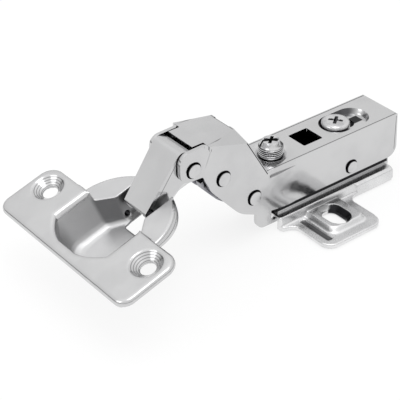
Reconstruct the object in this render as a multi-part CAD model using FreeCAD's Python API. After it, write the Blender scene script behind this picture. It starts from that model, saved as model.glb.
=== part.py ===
import FreeCAD, Part
import math
import os

# Cranked concealed cup hinge, fully open, in millimetres.
# X runs from the cup back along the arm, Y is the hinge axis direction, Z leaves the mounting plate.
# The origin is midway between the two wing slots, on the underside of the mounting plate.

# Sheet and pins
SHEET = 1.2
RIVET_R = 2.2
GUIDE_R = 2.0
CUP_PIN_R = 1.25
RUN_GAP = 0.05
LINK_GAP = 0.3
RIVET_PROUD = 0.25
RIVET_RECESS = 0.45
ARC_STEPS = 3

# Cup frame: place and lean of the cup when the hinge is fully open
CUP_LEAN = 17.0
OUTER_PIN_U = 8.84
OUTER_PIN_D = 6.31
INNER_PIN_U = 12.68
INNER_PIN_D = 7.75

# Cup
CUP_R = 17.5
CUP_WALL = 0.8
POCKET_DEPTH = 12.3
POCKET_HALF = 12.6
CHANNEL_HALF = 7.4
POCKET_FRONT = 16.3
POCKET_CORNER_R = 6.0
SHOULDER_U = 0.3
WAIST_U = 5.5
POCKET_LEAN = 4.0
CRESCENT_DEPTH = 3.3
SKIRT_DEPTH = 8.6
SKIRT_START = 4.7
RIM_R = 1.2
FLOOR_R = 2.2
FLANGE_HALF = 31.2
FLANGE_FRONT = 20.1
FLANGE_REAR = 0.8
FLANGE_EDGE = 1.9
FLANGE_EDGE_R = 1.3
SCREW_SPACING = 48.0
SCREW_OFFSET = 6.0
SCREW_HOLE_R = 2.3
SCREW_SINK_R = 4.7
SCREW_SINK_DEPTH = 2.2
SCREW_COLLAR = 0.7
FLOOR_SLOT_HALF = 4.2
FLOOR_SLOT_START = 3.6
WALL_HOLE_U = 6.7
WALL_HOLE_D = 10.4
WALL_HOLE_R = 0.9

# Arm
ARM_HALF = 7.9
ARM_TOP = 22.5
ARM_BOTTOM = 7.4
ARM_REAR = 33.4
NECK_HALF = ARM_HALF + 0.7
EAR_HALF = NECK_HALF - 1.3
HOOD_Z = 40.2
HOOD_FRONT = -46.8
HOOD_FOLD = -31.3
HOOD_FOOT = -20.9
HOOD_TONGUE_HALF = EAR_HALF - 1.8
EAR_TOP = HOOD_Z - 0.35
EAR_FRONT = -52.5
JOG_X = -42.9
SWELL_TOP = ARM_TOP - 2.1
SWELL_END = -9.0
CHIN_X = EAR_FRONT + 8.1
CHIN_Z = HOOD_Z - 10.2
ARM_CHIN_X = -12.0

# Pivots in the X and Z plane
KNUCKLE_X = EAR_FRONT + 4.8
KNUCKLE_Z = HOOD_Z - 6.6
LINK_X = KNUCKLE_X + 9.8
LINK_Z = KNUCKLE_Z - 6.1
SPRING_X = HOOD_FOOT - 5.2
SPRING_Z = ARM_TOP - 6.5
GUIDE_X = 14.2
GUIDE_Z = ARM_BOTTOM + 3.1
CUP_X = KNUCKLE_X - 23.7
CUP_Z = KNUCKLE_Z - 7.5

# Links
OUTER_LINK_HALF = EAR_HALF - SHEET - LINK_GAP
OUTER_LINK_TIP_HALF = OUTER_LINK_HALF - 0.65
WEB_OFFSET_TOP = 7.1
WEB_OFFSET_TIP = 2.8
WEB_TOE = 1.5
LIP_X = -3.6
LIP_Z = 4.4
INNER_LINK_HALF = OUTER_LINK_TIP_HALF - SHEET - 0.5
INNER_LINK_BOW = 2.4
INNER_LINK_BAR = 1.5
INNER_EYE_WALL = 0.75
# The slot lets the neck pivot drift as the coupled links turn.
SLOT_RISE = 2.35
SLOT_FRONT = 0.3
SLOT_BACK = 0.7

# Adapter, screws and plate
ADAPTER_HALF = ARM_HALF - SHEET - 0.1
ADAPTER_TOP = ARM_TOP - SHEET - 1.7
ADAPTER_FRONT = -16.0
ADAPTER_REAR = 30.0
SADDLE_TOP = 4.5
HOOK_LOW = 1.8
PLATE_SHEET = 1.5
PLATE_FRONT = -16.3
PLATE_REAR = 31.0
PLATE_HALF = 10.4
SADDLE_HALF = 9.3
REAR_STEP_X = 14.5
REAR_STEP_HALF = 10.2
WING_HALF = 26.9
WING_FRONT = -12.2
WING_REAR = 10.8
SLOT_PITCH = 32.0
SLOT_R = 2.6
SLOT_STRAIGHT = 3.4
ISLAND_Z = 3.0
SIDE_SCREW_X = -12.6
SIDE_SCREW_R = 3.75
DISH_R = 6.2
DISH_DEPTH = 0.8
WINDOW_X = 1.4
WINDOW_HALF = 3.8
CLAMP_X = 14.0
CLAMP_HEAD_R = 4.6
CLAMP_SHANK_R = 2.45
CLAMP_TRAVEL = 4.6
CATCH_X = 25.0
CATCH_Z = 10.6
CATCH_PIN_R = 1.5
STRIP_SHEET = 0.9
SPRING_WIRE_R = 0.35
SPRING_TURNS = 2.75
COIL_STEPS = 10
SPRING_LEG_UP = 7.2
SPRING_LEG_BACK = 6.6


def vec(x, y, z):
    return FreeCAD.Vector(x, y, z)


def in_side(a, b):
    return vec(a, 0.0, b)


def in_plan(a, b):
    return vec(a, b, 0.0)


def outline(corners, place):
    # Closed outline of corners (a, b, radius); each corner is rounded by its radius.
    edges = []
    first = None
    last = None
    count = len(corners)
    for i in range(count):
        a, b, r = corners[i]
        pa, pb, _ = corners[i - 1]
        na, nb, _ = corners[(i + 1) % count]
        back = FreeCAD.Vector(pa - a, pb - b, 0.0).normalize()
        ahead = FreeCAD.Vector(na - a, nb - b, 0.0).normalize()
        half = back.getAngle(ahead) / 2.0
        here = FreeCAD.Vector(a, b, 0.0)
        if r > 0.0:
            reach = r / math.tan(half)
            start = here + back * reach
            end = here + ahead * reach
            middle = (back + ahead).normalize()
            crown = here + middle * (r / math.sin(half) - r)
        else:
            start = here
            end = here
            crown = None
        if last is not None and last.distanceToPoint(start) > 1e-6:
            edges.append(Part.makeLine(place(last.x, last.y), place(start.x, start.y)))
        if crown is not None:
            arc = Part.Arc(place(start.x, start.y), place(crown.x, crown.y), place(end.x, end.y))
            edges.append(arc.toShape())
        if first is None:
            first = start
        last = end
    if last.distanceToPoint(first) > 1e-6:
        edges.append(Part.makeLine(place(last.x, last.y), place(first.x, first.y)))
    return Part.Wire(edges)


def side_prism(corners, y0, y1):
    face = Part.Face(outline(corners, in_side))
    face.translate(vec(0.0, y0, 0.0))
    return face.extrude(vec(0.0, y1 - y0, 0.0))


def plan_prism(corners, z0, z1):
    face = Part.Face(outline(corners, in_plan))
    face.translate(vec(0.0, 0.0, z0))
    return face.extrude(vec(0.0, 0.0, z1 - z0))


def plan_loft(low, z0, high, z1):
    bottom = outline(low, in_plan)
    bottom.translate(vec(0.0, 0.0, z0))
    top = outline(high, in_plan)
    top.translate(vec(0.0, 0.0, z1))
    return Part.makeLoft([bottom, top], True, True)


def plan_stack(sections):
    # Solid through several flat outlines, each given as (corners, height).
    wires = []
    for corners, z in sections:
        wire = outline(corners, in_plan)
        wire.translate(vec(0.0, 0.0, z))
        wires.append(wire)
    return Part.makeLoft(wires, True, True)


def turned(profile):
    # Solid of revolution about Z from (radius, height) points that start and end on the axis.
    points = [vec(r, 0.0, z) for r, z in profile]
    face = Part.Face(Part.makePolygon(points + [points[0]]))
    return face.revolve(vec(0.0, 0.0, 0.0), vec(0.0, 0.0, 1.0), 360.0)


def box(x0, x1, y0, y1, z0, z1):
    return Part.makeBox(x1 - x0, y1 - y0, z1 - z0, vec(x0, y0, z0))


def pin(x, z, radius, half):
    return Part.makeCylinder(radius, 2.0 * half, vec(x, -half, z), vec(0.0, 1.0, 0.0))


def post(x, y, radius, z0, z1):
    return Part.makeCylinder(radius, z1 - z0, vec(x, y, z0))


def slot_corners(x0, x1, y, r):
    # Long round-ended slot along X, centred on y.
    return [(x0 - r, y - r, r), (x1 + r, y - r, r), (x1 + r, y + r, r), (x0 - r, y + r, r)]


def fuse(shapes):
    result = shapes[0]
    for shape in shapes[1:]:
        result = result.fuse(shape)
    return result.removeSplitter()


def mirrored(shape):
    return shape.mirror(vec(0.0, 0.0, 0.0), vec(0.0, 1.0, 0.0))


def both_sides(shape):
    return [shape, mirrored(shape)]


def bend_strip(points, thickness):
    # Sheet strip in the X and Z plane: outer points, then the same path offset by the thickness
    # to the right-hand side of travel.
    offset = []
    count = len(points)
    for i in range(count):
        ax, az = points[max(i - 1, 0)]
        bx, bz = points[i]
        cx, cz = points[min(i + 1, count - 1)]
        first = FreeCAD.Vector(bz - az, ax - bx, 0.0)
        second = FreeCAD.Vector(cz - bz, bx - cx, 0.0)
        if first.Length < 1e-9:
            first = second
        if second.Length < 1e-9:
            second = first
        first = first.normalize()
        second = second.normalize()
        mitre = first + second
        mitre = mitre * (2.0 * thickness / mitre.dot(mitre))
        offset.append((bx + mitre.x, bz + mitre.y))
    return points, offset


def strip_corners(points, thickness, outer_radii, inner_radii):
    outer, inner = bend_strip(points, thickness)
    corners = [(p[0], p[1], r) for p, r in zip(outer, outer_radii)]
    back = [(p[0], p[1], r) for p, r in zip(inner, inner_radii)]
    back.reverse()
    return corners + back


def place_cup(shape):
    # From the cup's own frame (X toward the arm, Z out of the door) to the open pose.
    moved = shape.copy()
    moved.rotate(vec(0.0, 0.0, 0.0), vec(0.0, 1.0, 0.0), -CUP_LEAN)
    moved.translate(vec(CUP_X, 0.0, CUP_Z))
    return moved


def cup_point(u, depth):
    lean = math.radians(CUP_LEAN)
    x = CUP_X + u * math.cos(lean) + depth * math.sin(lean)
    z = CUP_Z + u * math.sin(lean) - depth * math.cos(lean)
    return x, z


def flange_corners(inset):
    return [
        (-FLANGE_FRONT + inset, -FLANGE_HALF + inset, 4.0 - inset),
        (FLANGE_REAR - inset, -FLANGE_HALF + inset, 5.0 - inset),
        (FLANGE_REAR - inset, FLANGE_HALF - inset, 5.0 - inset),
        (-FLANGE_FRONT + inset, FLANGE_HALF - inset, 4.0 - inset),
    ]


def pocket_corners(grow, depth):
    # Plan of the pocket at a depth: round front, straight sides, narrower channel toward the arm.
    lean = POCKET_LEAN * depth / POCKET_DEPTH
    front = -(POCKET_FRONT + grow - lean * 0.4)
    side = POCKET_HALF + grow - lean
    channel = CHANNEL_HALF + grow - lean * 0.45
    rear = CUP_R - CUP_WALL + grow - lean * 0.35
    shoulder = SHOULDER_U - grow * 0.4
    waist = WAIST_U - grow * 0.4
    return [
        (rear, -channel, 0.6),
        (rear, channel, 0.6),
        (waist, channel, 1.5),
        (shoulder, side, 1.5),
        (front, side, POCKET_CORNER_R),
        (front, -side, POCKET_CORNER_R),
        (shoulder, -side, 1.5),
        (waist, -channel, 1.5),
    ]


def arc_steps(radius):
    # A quarter circle in steps: (distance along the first side, distance off it).
    steps = []
    for i in range(ARC_STEPS + 1):
        turn = math.pi / 2.0 * i / ARC_STEPS
        steps.append((radius * math.sin(turn), radius * (1.0 - math.cos(turn))))
    return steps


def build_pocket():
    # The pocket's hollow: rounded floor edge, leaning walls, rolled rim.
    levels = []
    for rise, inset in arc_steps(FLOOR_R):
        levels.append((POCKET_DEPTH - FLOOR_R + rise, -inset))
    levels.reverse()
    for rise, flare in arc_steps(RIM_R):
        levels.append((RIM_R - rise, flare))
    levels.append((-1.0, RIM_R))
    sections = [(pocket_corners(grow, depth), -depth) for depth, grow in levels]
    hollow = plan_stack(sections)
    inner = CUP_R - CUP_WALL
    profile = [(0.0, -POCKET_DEPTH)]
    for depth, grow in levels:
        profile.append((inner + grow, -depth))
    profile.append((0.0, 1.0))
    return hollow.common(turned(profile))


def build_tub():
    # Outer skin of the pocket, one wall thickness outside the hollow.
    outer_r = FLOOR_R + CUP_WALL
    levels = []
    for rise, inset in arc_steps(outer_r):
        levels.append((POCKET_DEPTH - FLOOR_R + rise, CUP_WALL - inset))
    levels.reverse()
    levels.append((0.3, CUP_WALL))
    sections = [(pocket_corners(grow, min(depth, POCKET_DEPTH)), -depth) for depth, grow in levels]
    tub = plan_stack(sections)
    profile = [(0.0, -POCKET_DEPTH - CUP_WALL)]
    for depth, grow in levels:
        profile.append((CUP_R - CUP_WALL + grow, -depth))
    profile.append((0.0, -0.3))
    return tub.common(turned(profile))


def build_cup():
    levels = [(flange_corners(0.0), -FLANGE_EDGE)]
    for rise, inset in arc_steps(FLANGE_EDGE_R):
        levels.append((flange_corners(inset), rise - FLANGE_EDGE_R))
    flange = plan_stack(levels)
    flange = flange.cut(plan_prism(flange_corners(SHEET), -FLANGE_EDGE - 1.0, -SHEET))
    tub = build_tub()
    behind = box(FLANGE_REAR, CUP_R + 1.0, -CUP_R, CUP_R, -CRESCENT_DEPTH, 1.0)
    tub = tub.cut(behind)
    skirt_inner = CUP_R - CUP_WALL
    crescents = turned([
        (skirt_inner, -SKIRT_DEPTH),
        (CUP_R, -SKIRT_DEPTH),
        (CUP_R, -CRESCENT_DEPTH - 0.6),
        (CUP_R - 0.2, -CRESCENT_DEPTH - 0.2),
        (CUP_R - 0.6, -CRESCENT_DEPTH),
        (CHANNEL_HALF, -CRESCENT_DEPTH),
        (CHANNEL_HALF, -CRESCENT_DEPTH - CUP_WALL),
        (skirt_inner, -CRESCENT_DEPTH - CUP_WALL),
    ])
    crescents = crescents.cut(box(-CUP_R - 1.0, FLANGE_REAR - CUP_WALL, -CUP_R, CUP_R, -20.0, 1.0))
    # The skirt is shallow beside the flange and deepest at the rear.
    below = side_prism(
        [
            (-CUP_R, -SKIRT_START, 0.0),
            (0.0, -SKIRT_START, 0.0),
            (CUP_R, -SKIRT_DEPTH, 0.0),
            (CUP_R, -CUP_R, 0.0),
            (-CUP_R, -CUP_R, 0.0),
        ],
        -CUP_R,
        CUP_R,
    )
    crescents = crescents.cut(below)
    inside = box(FLANGE_REAR - CUP_WALL, WAIST_U + 1.0, -POCKET_HALF, POCKET_HALF, -CRESCENT_DEPTH - CUP_WALL, -CRESCENT_DEPTH)
    shelf = post(0.0, 0.0, CUP_R - 1.0, -CRESCENT_DEPTH - CUP_WALL, -CRESCENT_DEPTH).common(inside)
    step = post(0.0, 0.0, CUP_R, -CRESCENT_DEPTH - CUP_WALL, -0.5)
    step = step.common(box(FLANGE_REAR - CUP_WALL, FLANGE_REAR, -CUP_R, CUP_R, -20.0, 1.0))
    collar_low = -SCREW_SINK_DEPTH - SCREW_COLLAR
    collars = []
    for side in (-1.0, 1.0):
        y = side * SCREW_SPACING / 2.0
        base = vec(-SCREW_OFFSET, y, collar_low)
        collars.append(Part.makeCone(SCREW_HOLE_R + 1.0, SCREW_SINK_R + 1.2, -collar_low - 0.2, base))
    cup = fuse([flange, tub, crescents, shelf, step] + collars)
    cup = cup.cut(build_pocket())
    for side in (-1.0, 1.0):
        y = side * SCREW_SPACING / 2.0
        sink = turned([
            (0.0, collar_low - 1.0),
            (SCREW_HOLE_R, collar_low - 1.0),
            (SCREW_HOLE_R, -SCREW_SINK_DEPTH),
            (SCREW_SINK_R - 0.2, -0.5),
            (SCREW_SINK_R + 0.4, 0.0),
            (SCREW_SINK_R + 0.4, 1.0),
            (0.0, 1.0),
        ])
        sink.translate(vec(-SCREW_OFFSET, y, 0.0))
        cup = cup.cut(sink)
    # Opening for the inner link: through the floor and up the rear wall.
    cup = cup.cut(
        box(FLOOR_SLOT_START, CUP_R + 1.0, -FLOOR_SLOT_HALF, FLOOR_SLOT_HALF, -POCKET_DEPTH - 2.0, -2.0)
    )
    # The rear wall is low where the outer link lies over it.
    gate = CHANNEL_HALF - 0.9
    cup = cup.cut(box(CUP_R - 3.0, CUP_R + 1.0, -gate, gate, -OUTER_PIN_D - 1.5, 1.0))
    cup = cup.cut(pin(OUTER_PIN_U, -OUTER_PIN_D, CUP_PIN_R, CUP_R))
    cup = cup.cut(pin(INNER_PIN_U, -INNER_PIN_D, CUP_PIN_R, CUP_R))
    cup = cup.cut(pin(WALL_HOLE_U, -WALL_HOLE_D, WALL_HOLE_R, POCKET_HALF))
    return place_cup(cup)


def build_outer_link_pins():
    inner_end = OUTER_LINK_TIP_HALF - SHEET
    outer_end = CHANNEL_HALF + CUP_WALL
    length = outer_end - inner_end
    near = Part.makeCylinder(CUP_PIN_R, length, vec(OUTER_PIN_U, inner_end, -OUTER_PIN_D), vec(0.0, 1.0, 0.0))
    stubs = Part.makeCompound([place_cup(s) for s in both_sides(near)])
    return stubs


def build_inner_link_pin():
    return place_cup(pin(INNER_PIN_U, -INNER_PIN_D, CUP_PIN_R, CHANNEL_HALF + CUP_WALL))


def place_on_line(shape, ax, az, bx, bz, front):
    # From a local frame (X from pivot a toward pivot b, Z to the front or back) to the row frame.
    length = math.hypot(bx - ax, bz - az)
    ex = (bx - ax) / length
    ez = (bz - az) / length
    moved = shape.copy()
    if front:
        # Half a turn about X first, so that local Z points away from the arm.
        moved.rotate(vec(0.0, 0.0, 0.0), vec(1.0, 0.0, 0.0), 180.0)
    moved.rotate(vec(0.0, 0.0, 0.0), vec(0.0, 1.0, 0.0), -math.degrees(math.atan2(ez, ex)))
    moved.translate(vec(ax, 0.0, az))
    return moved


def build_outer_link():
    # Local frame: X from the knuckle pivot to the cup pivot, Z toward the web in front.
    ax, az = cup_point(OUTER_PIN_U, OUTER_PIN_D)
    length = math.hypot(ax - KNUCKLE_X, az - KNUCKLE_Z)
    slope = (WEB_OFFSET_TOP - WEB_OFFSET_TIP) / length
    bend_x = -1.3
    bend_z = WEB_OFFSET_TOP - slope * bend_x
    toe_x = length + WEB_TOE
    toe_z = WEB_OFFSET_TIP - slope * WEB_TOE
    web = side_prism(
        strip_corners(
            [(LIP_X, LIP_Z), (bend_x, bend_z), (toe_x, toe_z)],
            SHEET,
            [0.0, 2.6, 0.8],
            [0.0, 1.4, 0.0],
        ),
        -OUTER_LINK_HALF - 1.0,
        OUTER_LINK_HALF + 1.0,
    )
    flange = side_prism(
        [
            (LIP_X + 0.9, LIP_Z - 0.4, 0.0),
            (bend_x + 0.1, bend_z - 0.3, 2.4),
            (toe_x, toe_z - 0.2, 0.8),
            (length + 2.0, -1.8, 1.8),
            (length - 0.8, -1.8, 0.8),
            (length - 2.0, -0.9, 0.8),
            (length - 5.2, -0.9, 2.0),
            (9.0, -1.7, 3.0),
            (4.8, -1.5, 2.0),
            (3.2, -3.0, 1.0),
            (-0.8, -3.7, 2.4),
            (-3.6, -1.2, 2.0),
            (-4.3, 2.6, 1.0),
        ],
        -SHEET,
        0.0,
    )
    taper = math.degrees(math.atan2(OUTER_LINK_HALF - OUTER_LINK_TIP_HALF, length))
    flange.rotate(vec(0.0, 0.0, 0.0), vec(0.0, 0.0, 1.0), -taper)
    flange.translate(vec(0.0, OUTER_LINK_HALF, 0.0))
    plan = [
        (-9.0, OUTER_LINK_HALF + 9.0 * math.tan(math.radians(taper)), 0.0),
        (length + 5.0, OUTER_LINK_TIP_HALF - 5.0 * math.tan(math.radians(taper)), 0.0),
    ]
    back = [(x, -y, r) for x, y, r in plan]
    back.reverse()
    web = web.common(plan_prism(plan + back, -10.0, 12.0))
    link = fuse([web] + both_sides(flange))
    link = link.cut(pin(0.0, 0.0, RIVET_R + RUN_GAP, OUTER_LINK_HALF + 1.0))
    link = link.cut(pin(length, 0.0, CUP_PIN_R + RUN_GAP, OUTER_LINK_HALF + 1.0))
    return place_on_line(link, KNUCKLE_X, KNUCKLE_Z, ax, az, True)


def build_inner_link():
    # Local frame: X from the cup pivot to the neck pivot, Z toward the knuckle hood.
    cx, cz = cup_point(INNER_PIN_U, INNER_PIN_D)
    length = math.hypot(LINK_X - cx, LINK_Z - cz)
    half = INNER_LINK_BAR / 2.0
    bar = side_prism(
        strip_corners(
            [
                (length, half + 0.4),
                (length * 0.66, INNER_LINK_BOW + half),
                (length * 0.36, INNER_LINK_BOW + half),
                (length * 0.16, half + 0.3),
                (0.0, half),
            ],
            -INNER_LINK_BAR,
            [0.0, 4.0, 3.0, 2.0, 0.0],
            [0.0, 3.0, 2.0, 3.0, 0.0],
        ),
        -INNER_LINK_HALF,
        INNER_LINK_HALF,
    )
    eye = pin(0.0, 0.0, CUP_PIN_R + INNER_EYE_WALL, INNER_LINK_HALF)
    open_r = RIVET_R + RUN_GAP
    wall = open_r + INNER_EYE_WALL
    slot_eye = side_prism(
        [
            (-wall - SLOT_FRONT, -wall, wall),
            (wall + SLOT_BACK, -wall, wall),
            (wall + SLOT_BACK, wall + SLOT_RISE, wall),
            (-wall - SLOT_FRONT, wall + SLOT_RISE, wall),
        ],
        -INNER_LINK_HALF,
        INNER_LINK_HALF,
    )
    slot = side_prism(
        [
            (-open_r - SLOT_FRONT, -open_r, open_r),
            (open_r + SLOT_BACK, -open_r, open_r),
            (open_r + SLOT_BACK, open_r + SLOT_RISE, open_r),
            (-open_r - SLOT_FRONT, open_r + SLOT_RISE, open_r),
        ],
        -INNER_LINK_HALF - 1.0,
        INNER_LINK_HALF + 1.0,
    )
    slot_eye.translate(vec(length, 0.0, 0.0))
    slot.translate(vec(length, 0.0, 0.0))
    link = fuse([bar, eye, slot_eye])
    link = link.cut(slot)
    link = link.cut(pin(0.0, 0.0, CUP_PIN_R + RUN_GAP, INNER_LINK_HALF + 1.0))
    return place_on_line(link, cx, cz, LINK_X, LINK_Z, False)


def neck_outline():
    return [
        (JOG_X, HOOD_Z - 0.1, 0.0),
        (EAR_FRONT, EAR_TOP, 3.2),
        (EAR_FRONT, CHIN_Z + 0.3, 3.6),
        (CHIN_X, CHIN_Z, 0.8),
        (CHIN_X + 2.4, CHIN_Z - 5.8, 8.0),
        (SPRING_X - 5.5, SPRING_Z - 3.6, 12.0),
        (SPRING_X + 1.6, SPRING_Z - 6.8, 9.0),
        (ARM_CHIN_X, ARM_BOTTOM, 0.0),
        (ARM_REAR + 0.6, ARM_BOTTOM, 3.5),
        (ARM_REAR, ARM_TOP, 0.8),
        (HOOD_FOOT, ARM_TOP, 0.0),
        (HOOD_FOLD, HOOD_Z, 0.0),
    ]


def wall_plan(side):
    # Plan of one side wall: ear, jog out to the neck, swell back in to the body.
    path = [
        (EAR_FRONT - 2.0, EAR_HALF),
        (JOG_X - 0.8, EAR_HALF),
        (JOG_X + 0.8, NECK_HALF),
        (SWELL_END - 8.0, NECK_HALF),
        (SWELL_END, ARM_HALF),
        (ARM_REAR + 2.0, ARM_HALF),
    ]
    outer = [(x, side * y, 0.0) for x, y in path]
    inner = [(x, side * (y - SHEET), 0.0) for x, y in path]
    inner.reverse()
    return outer + inner


def shoulder_plane(side):
    # Sloping shoulder of the knuckle hood: three points on its outer face.
    a = vec(JOG_X, side * NECK_HALF, HOOD_Z)
    b = vec(HOOD_FOLD + 2.2, side * NECK_HALF, HOOD_Z - 4.2)
    c = vec(HOOD_FOLD, side * (NECK_HALF - 3.6), HOOD_Z)
    normal = (b - a).cross(c - a).normalize()
    if normal.z < 0.0:
        normal = normal * -1.0
    return a, normal


def slab_on(point, normal, size, height):
    slab = Part.makeBox(size, size, height, vec(-size / 2.0, -size / 2.0, 0.0))
    turn = FreeCAD.Rotation(vec(0.0, 0.0, 1.0), normal)
    slab.Placement = FreeCAD.Placement(point, turn)
    return slab


def build_arm():
    walls = []
    for side in (-1.0, 1.0):
        tall = plan_prism(wall_plan(side), 0.0, HOOD_Z + 5.0)
        walls.append(tall.common(side_prism(neck_outline(), -NECK_HALF - 3.0, NECK_HALF + 3.0)))
    arm = fuse(walls)
    # Above the swell the body keeps its plain width.
    for side in (-1.0, 1.0):
        y0 = min(side * ARM_HALF, side * (ARM_HALF + 2.0))
        y1 = max(side * ARM_HALF, side * (ARM_HALF + 2.0))
        arm = arm.cut(box(HOOD_FOOT + 0.6, SWELL_END, y0, y1, SWELL_TOP, ARM_TOP + 1.0))
    hood = side_prism(
        strip_corners(
            [(HOOD_FRONT, HOOD_Z), (HOOD_FOLD, HOOD_Z), (HOOD_FOOT, ARM_TOP)],
            SHEET,
            [0.0, 1.6, 0.0],
            [0.0, 0.4, 0.0],
        ),
        -NECK_HALF,
        NECK_HALF,
    )
    for side in (-1.0, 1.0):
        y0 = min(side * HOOD_TONGUE_HALF, side * (NECK_HALF + 1.0))
        y1 = max(side * HOOD_TONGUE_HALF, side * (NECK_HALF + 1.0))
        hood = hood.cut(box(HOOD_FRONT - 1.0, JOG_X, y0, y1, CHIN_Z, HOOD_Z + 1.0))
    roof = box(HOOD_FOOT - 0.3, ARM_REAR, -ARM_HALF, ARM_HALF, ARM_TOP - SHEET, ARM_TOP)
    arm = fuse([arm, hood, roof])
    whole = side_prism(neck_outline(), -NECK_HALF, NECK_HALF)
    for side in (-1.0, 1.0):
        point, normal = shoulder_plane(side)
        arm = arm.cut(slab_on(point, normal, 60.0, 8.0))
        plate = slab_on(point - normal * SHEET, normal, 60.0, SHEET)
        plate = plate.common(whole)
        y0 = min(side * 3.0, side * NECK_HALF)
        y1 = max(side * 3.0, side * NECK_HALF)
        plate = plate.common(box(JOG_X, HOOD_FOOT, y0, y1, CHIN_Z, HOOD_Z))
        arm = arm.fuse(plate)
    arm = arm.removeSplitter()
    # Dished hole and threaded collar for the side adjusting screw.
    floor = ARM_TOP - DISH_DEPTH
    hole = SIDE_SCREW_R + 0.35
    pan = turned([
        (0.0, ADAPTER_TOP + 0.3),
        (hole + 1.0, ADAPTER_TOP + 0.3),
        (DISH_R, ARM_TOP - SHEET - 0.3),
        (DISH_R, ARM_TOP - SHEET + 0.1),
        (0.0, ARM_TOP - SHEET + 0.1),
    ])
    dish = turned([
        (0.0, floor - 0.5),
        (hole, floor - 0.5),
        (hole, floor),
        (DISH_R, ARM_TOP),
        (DISH_R, ARM_TOP + 1.0),
        (0.0, ARM_TOP + 1.0),
    ])
    pan.translate(vec(SIDE_SCREW_X, 0.0, 0.0))
    dish.translate(vec(SIDE_SCREW_X, 0.0, 0.0))
    arm = fuse([arm, pan])
    arm = arm.cut(dish)
    arm = arm.cut(post(SIDE_SCREW_X, 0.0, SIDE_SCREW_R + RUN_GAP, ADAPTER_TOP - 1.0, ARM_TOP))
    arm = arm.cut(plan_prism(
        [
            (WINDOW_X - WINDOW_HALF, -WINDOW_HALF, 0.5),
            (WINDOW_X + WINDOW_HALF, -WINDOW_HALF, 0.5),
            (WINDOW_X + WINDOW_HALF, WINDOW_HALF, 0.5),
            (WINDOW_X - WINDOW_HALF, WINDOW_HALF, 0.5),
        ],
        ARM_TOP - 3.0,
        ARM_TOP + 1.0,
    ))
    # Dished slot under the clamping screw: the arm slides along it for depth adjustment.
    dish_end = CLAMP_X + CLAMP_TRAVEL + 2.4
    dish_low = slot_corners(CLAMP_X, dish_end, 0.0, CLAMP_HEAD_R)
    dish_high = slot_corners(CLAMP_X, dish_end, 0.0, CLAMP_HEAD_R + 0.8)
    tray = plan_loft(
        slot_corners(CLAMP_X, dish_end, 0.0, CLAMP_HEAD_R + 0.6),
        ADAPTER_TOP,
        slot_corners(CLAMP_X, dish_end, 0.0, CLAMP_HEAD_R + 1.4),
        ARM_TOP - SHEET,
    )
    arm = fuse([arm, tray])
    arm = arm.cut(plan_loft(dish_low, ADAPTER_TOP + SHEET, dish_high, ARM_TOP))
    arm = arm.cut(plan_prism(
        slot_corners(CLAMP_X, CLAMP_X + CLAMP_TRAVEL, 0.0, CLAMP_SHANK_R + 0.1),
        ADAPTER_TOP - 1.0,
        ARM_TOP,
    ))
    arm = arm.cut(rivet_hole(KNUCKLE_X, KNUCKLE_Z, RIVET_R, EAR_HALF))
    arm = arm.cut(rivet_hole(LINK_X, LINK_Z, RIVET_R, NECK_HALF))
    arm = arm.cut(rivet_hole(SPRING_X, SPRING_Z, RIVET_R, NECK_HALF))
    arm = arm.cut(rivet_hole(GUIDE_X, GUIDE_Z, GUIDE_R, ARM_HALF))
    return arm


def rivet_hole(x, z, radius, half):
    # Cross hole with a small countersink in each outer face.
    sink = turned([
        (0.0, -half - 1.0),
        (radius + RIVET_RECESS, -half - 1.0),
        (radius + RIVET_RECESS, -half),
        (radius, -half + RIVET_RECESS),
        (radius, half - RIVET_RECESS),
        (radius + RIVET_RECESS, half),
        (radius + RIVET_RECESS, half + 1.0),
        (0.0, half + 1.0),
    ])
    sink.rotate(vec(0.0, 0.0, 0.0), vec(1.0, 0.0, 0.0), 90.0)
    sink.translate(vec(x, 0.0, z))
    return sink


def build_rivet(x, z, radius, half):
    body = pin(x, z, radius, half + RIVET_PROUD)
    ends = [e for e in body.Edges if abs(abs(e.CenterOfMass.y) - half - RIVET_PROUD) < 1e-6]
    return body.makeChamfer(0.15, ends)


def build_spring():
    # Flat strip: hooked over its rivet, then forward under the neck in two legs beside the link.
    half = NECK_HALF - SHEET - 1.2
    eye_r = RIVET_R + 0.02
    thick = STRIP_SHEET
    tip_x = CHIN_X - 0.1
    tip_z = CHIN_Z - 2.7
    ring = pin(SPRING_X, SPRING_Z, eye_r + thick, half)
    leg = side_prism(
        [
            (SPRING_X + 0.5, SPRING_Z - eye_r, 0.0),
            (SPRING_X + 0.5, SPRING_Z - eye_r - thick, 0.0),
            (SPRING_X - 3.2, SPRING_Z - eye_r - thick - 0.4, 1.0),
            (LINK_X - 0.6, LINK_Z - 8.2, 9.0),
            (tip_x + 0.6, tip_z - 2.1, 3.0),
            (tip_x, tip_z, 0.0),
            (tip_x + thick, tip_z + 0.3, 0.0),
            (tip_x + 0.6 + thick, tip_z - 1.6, 2.1),
            (LINK_X, LINK_Z - 7.4, 8.1),
            (SPRING_X - 3.0, SPRING_Z - eye_r - thick + 0.55, 1.9),
        ],
        -half,
        half,
    )
    spring = fuse([ring, leg])
    spring = spring.cut(pin(SPRING_X, SPRING_Z, eye_r, NECK_HALF))
    mouth = box(SPRING_X + 0.6, SPRING_X + 5.0, -NECK_HALF, NECK_HALF, SPRING_Z - 4.0, SPRING_Z + 0.2)
    spring = spring.cut(mouth)
    gap = INNER_LINK_HALF + 0.5
    return spring.cut(box(tip_x - 2.0, LINK_X + 0.9, -gap, gap, LINK_Z - 11.0, CHIN_Z))


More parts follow.
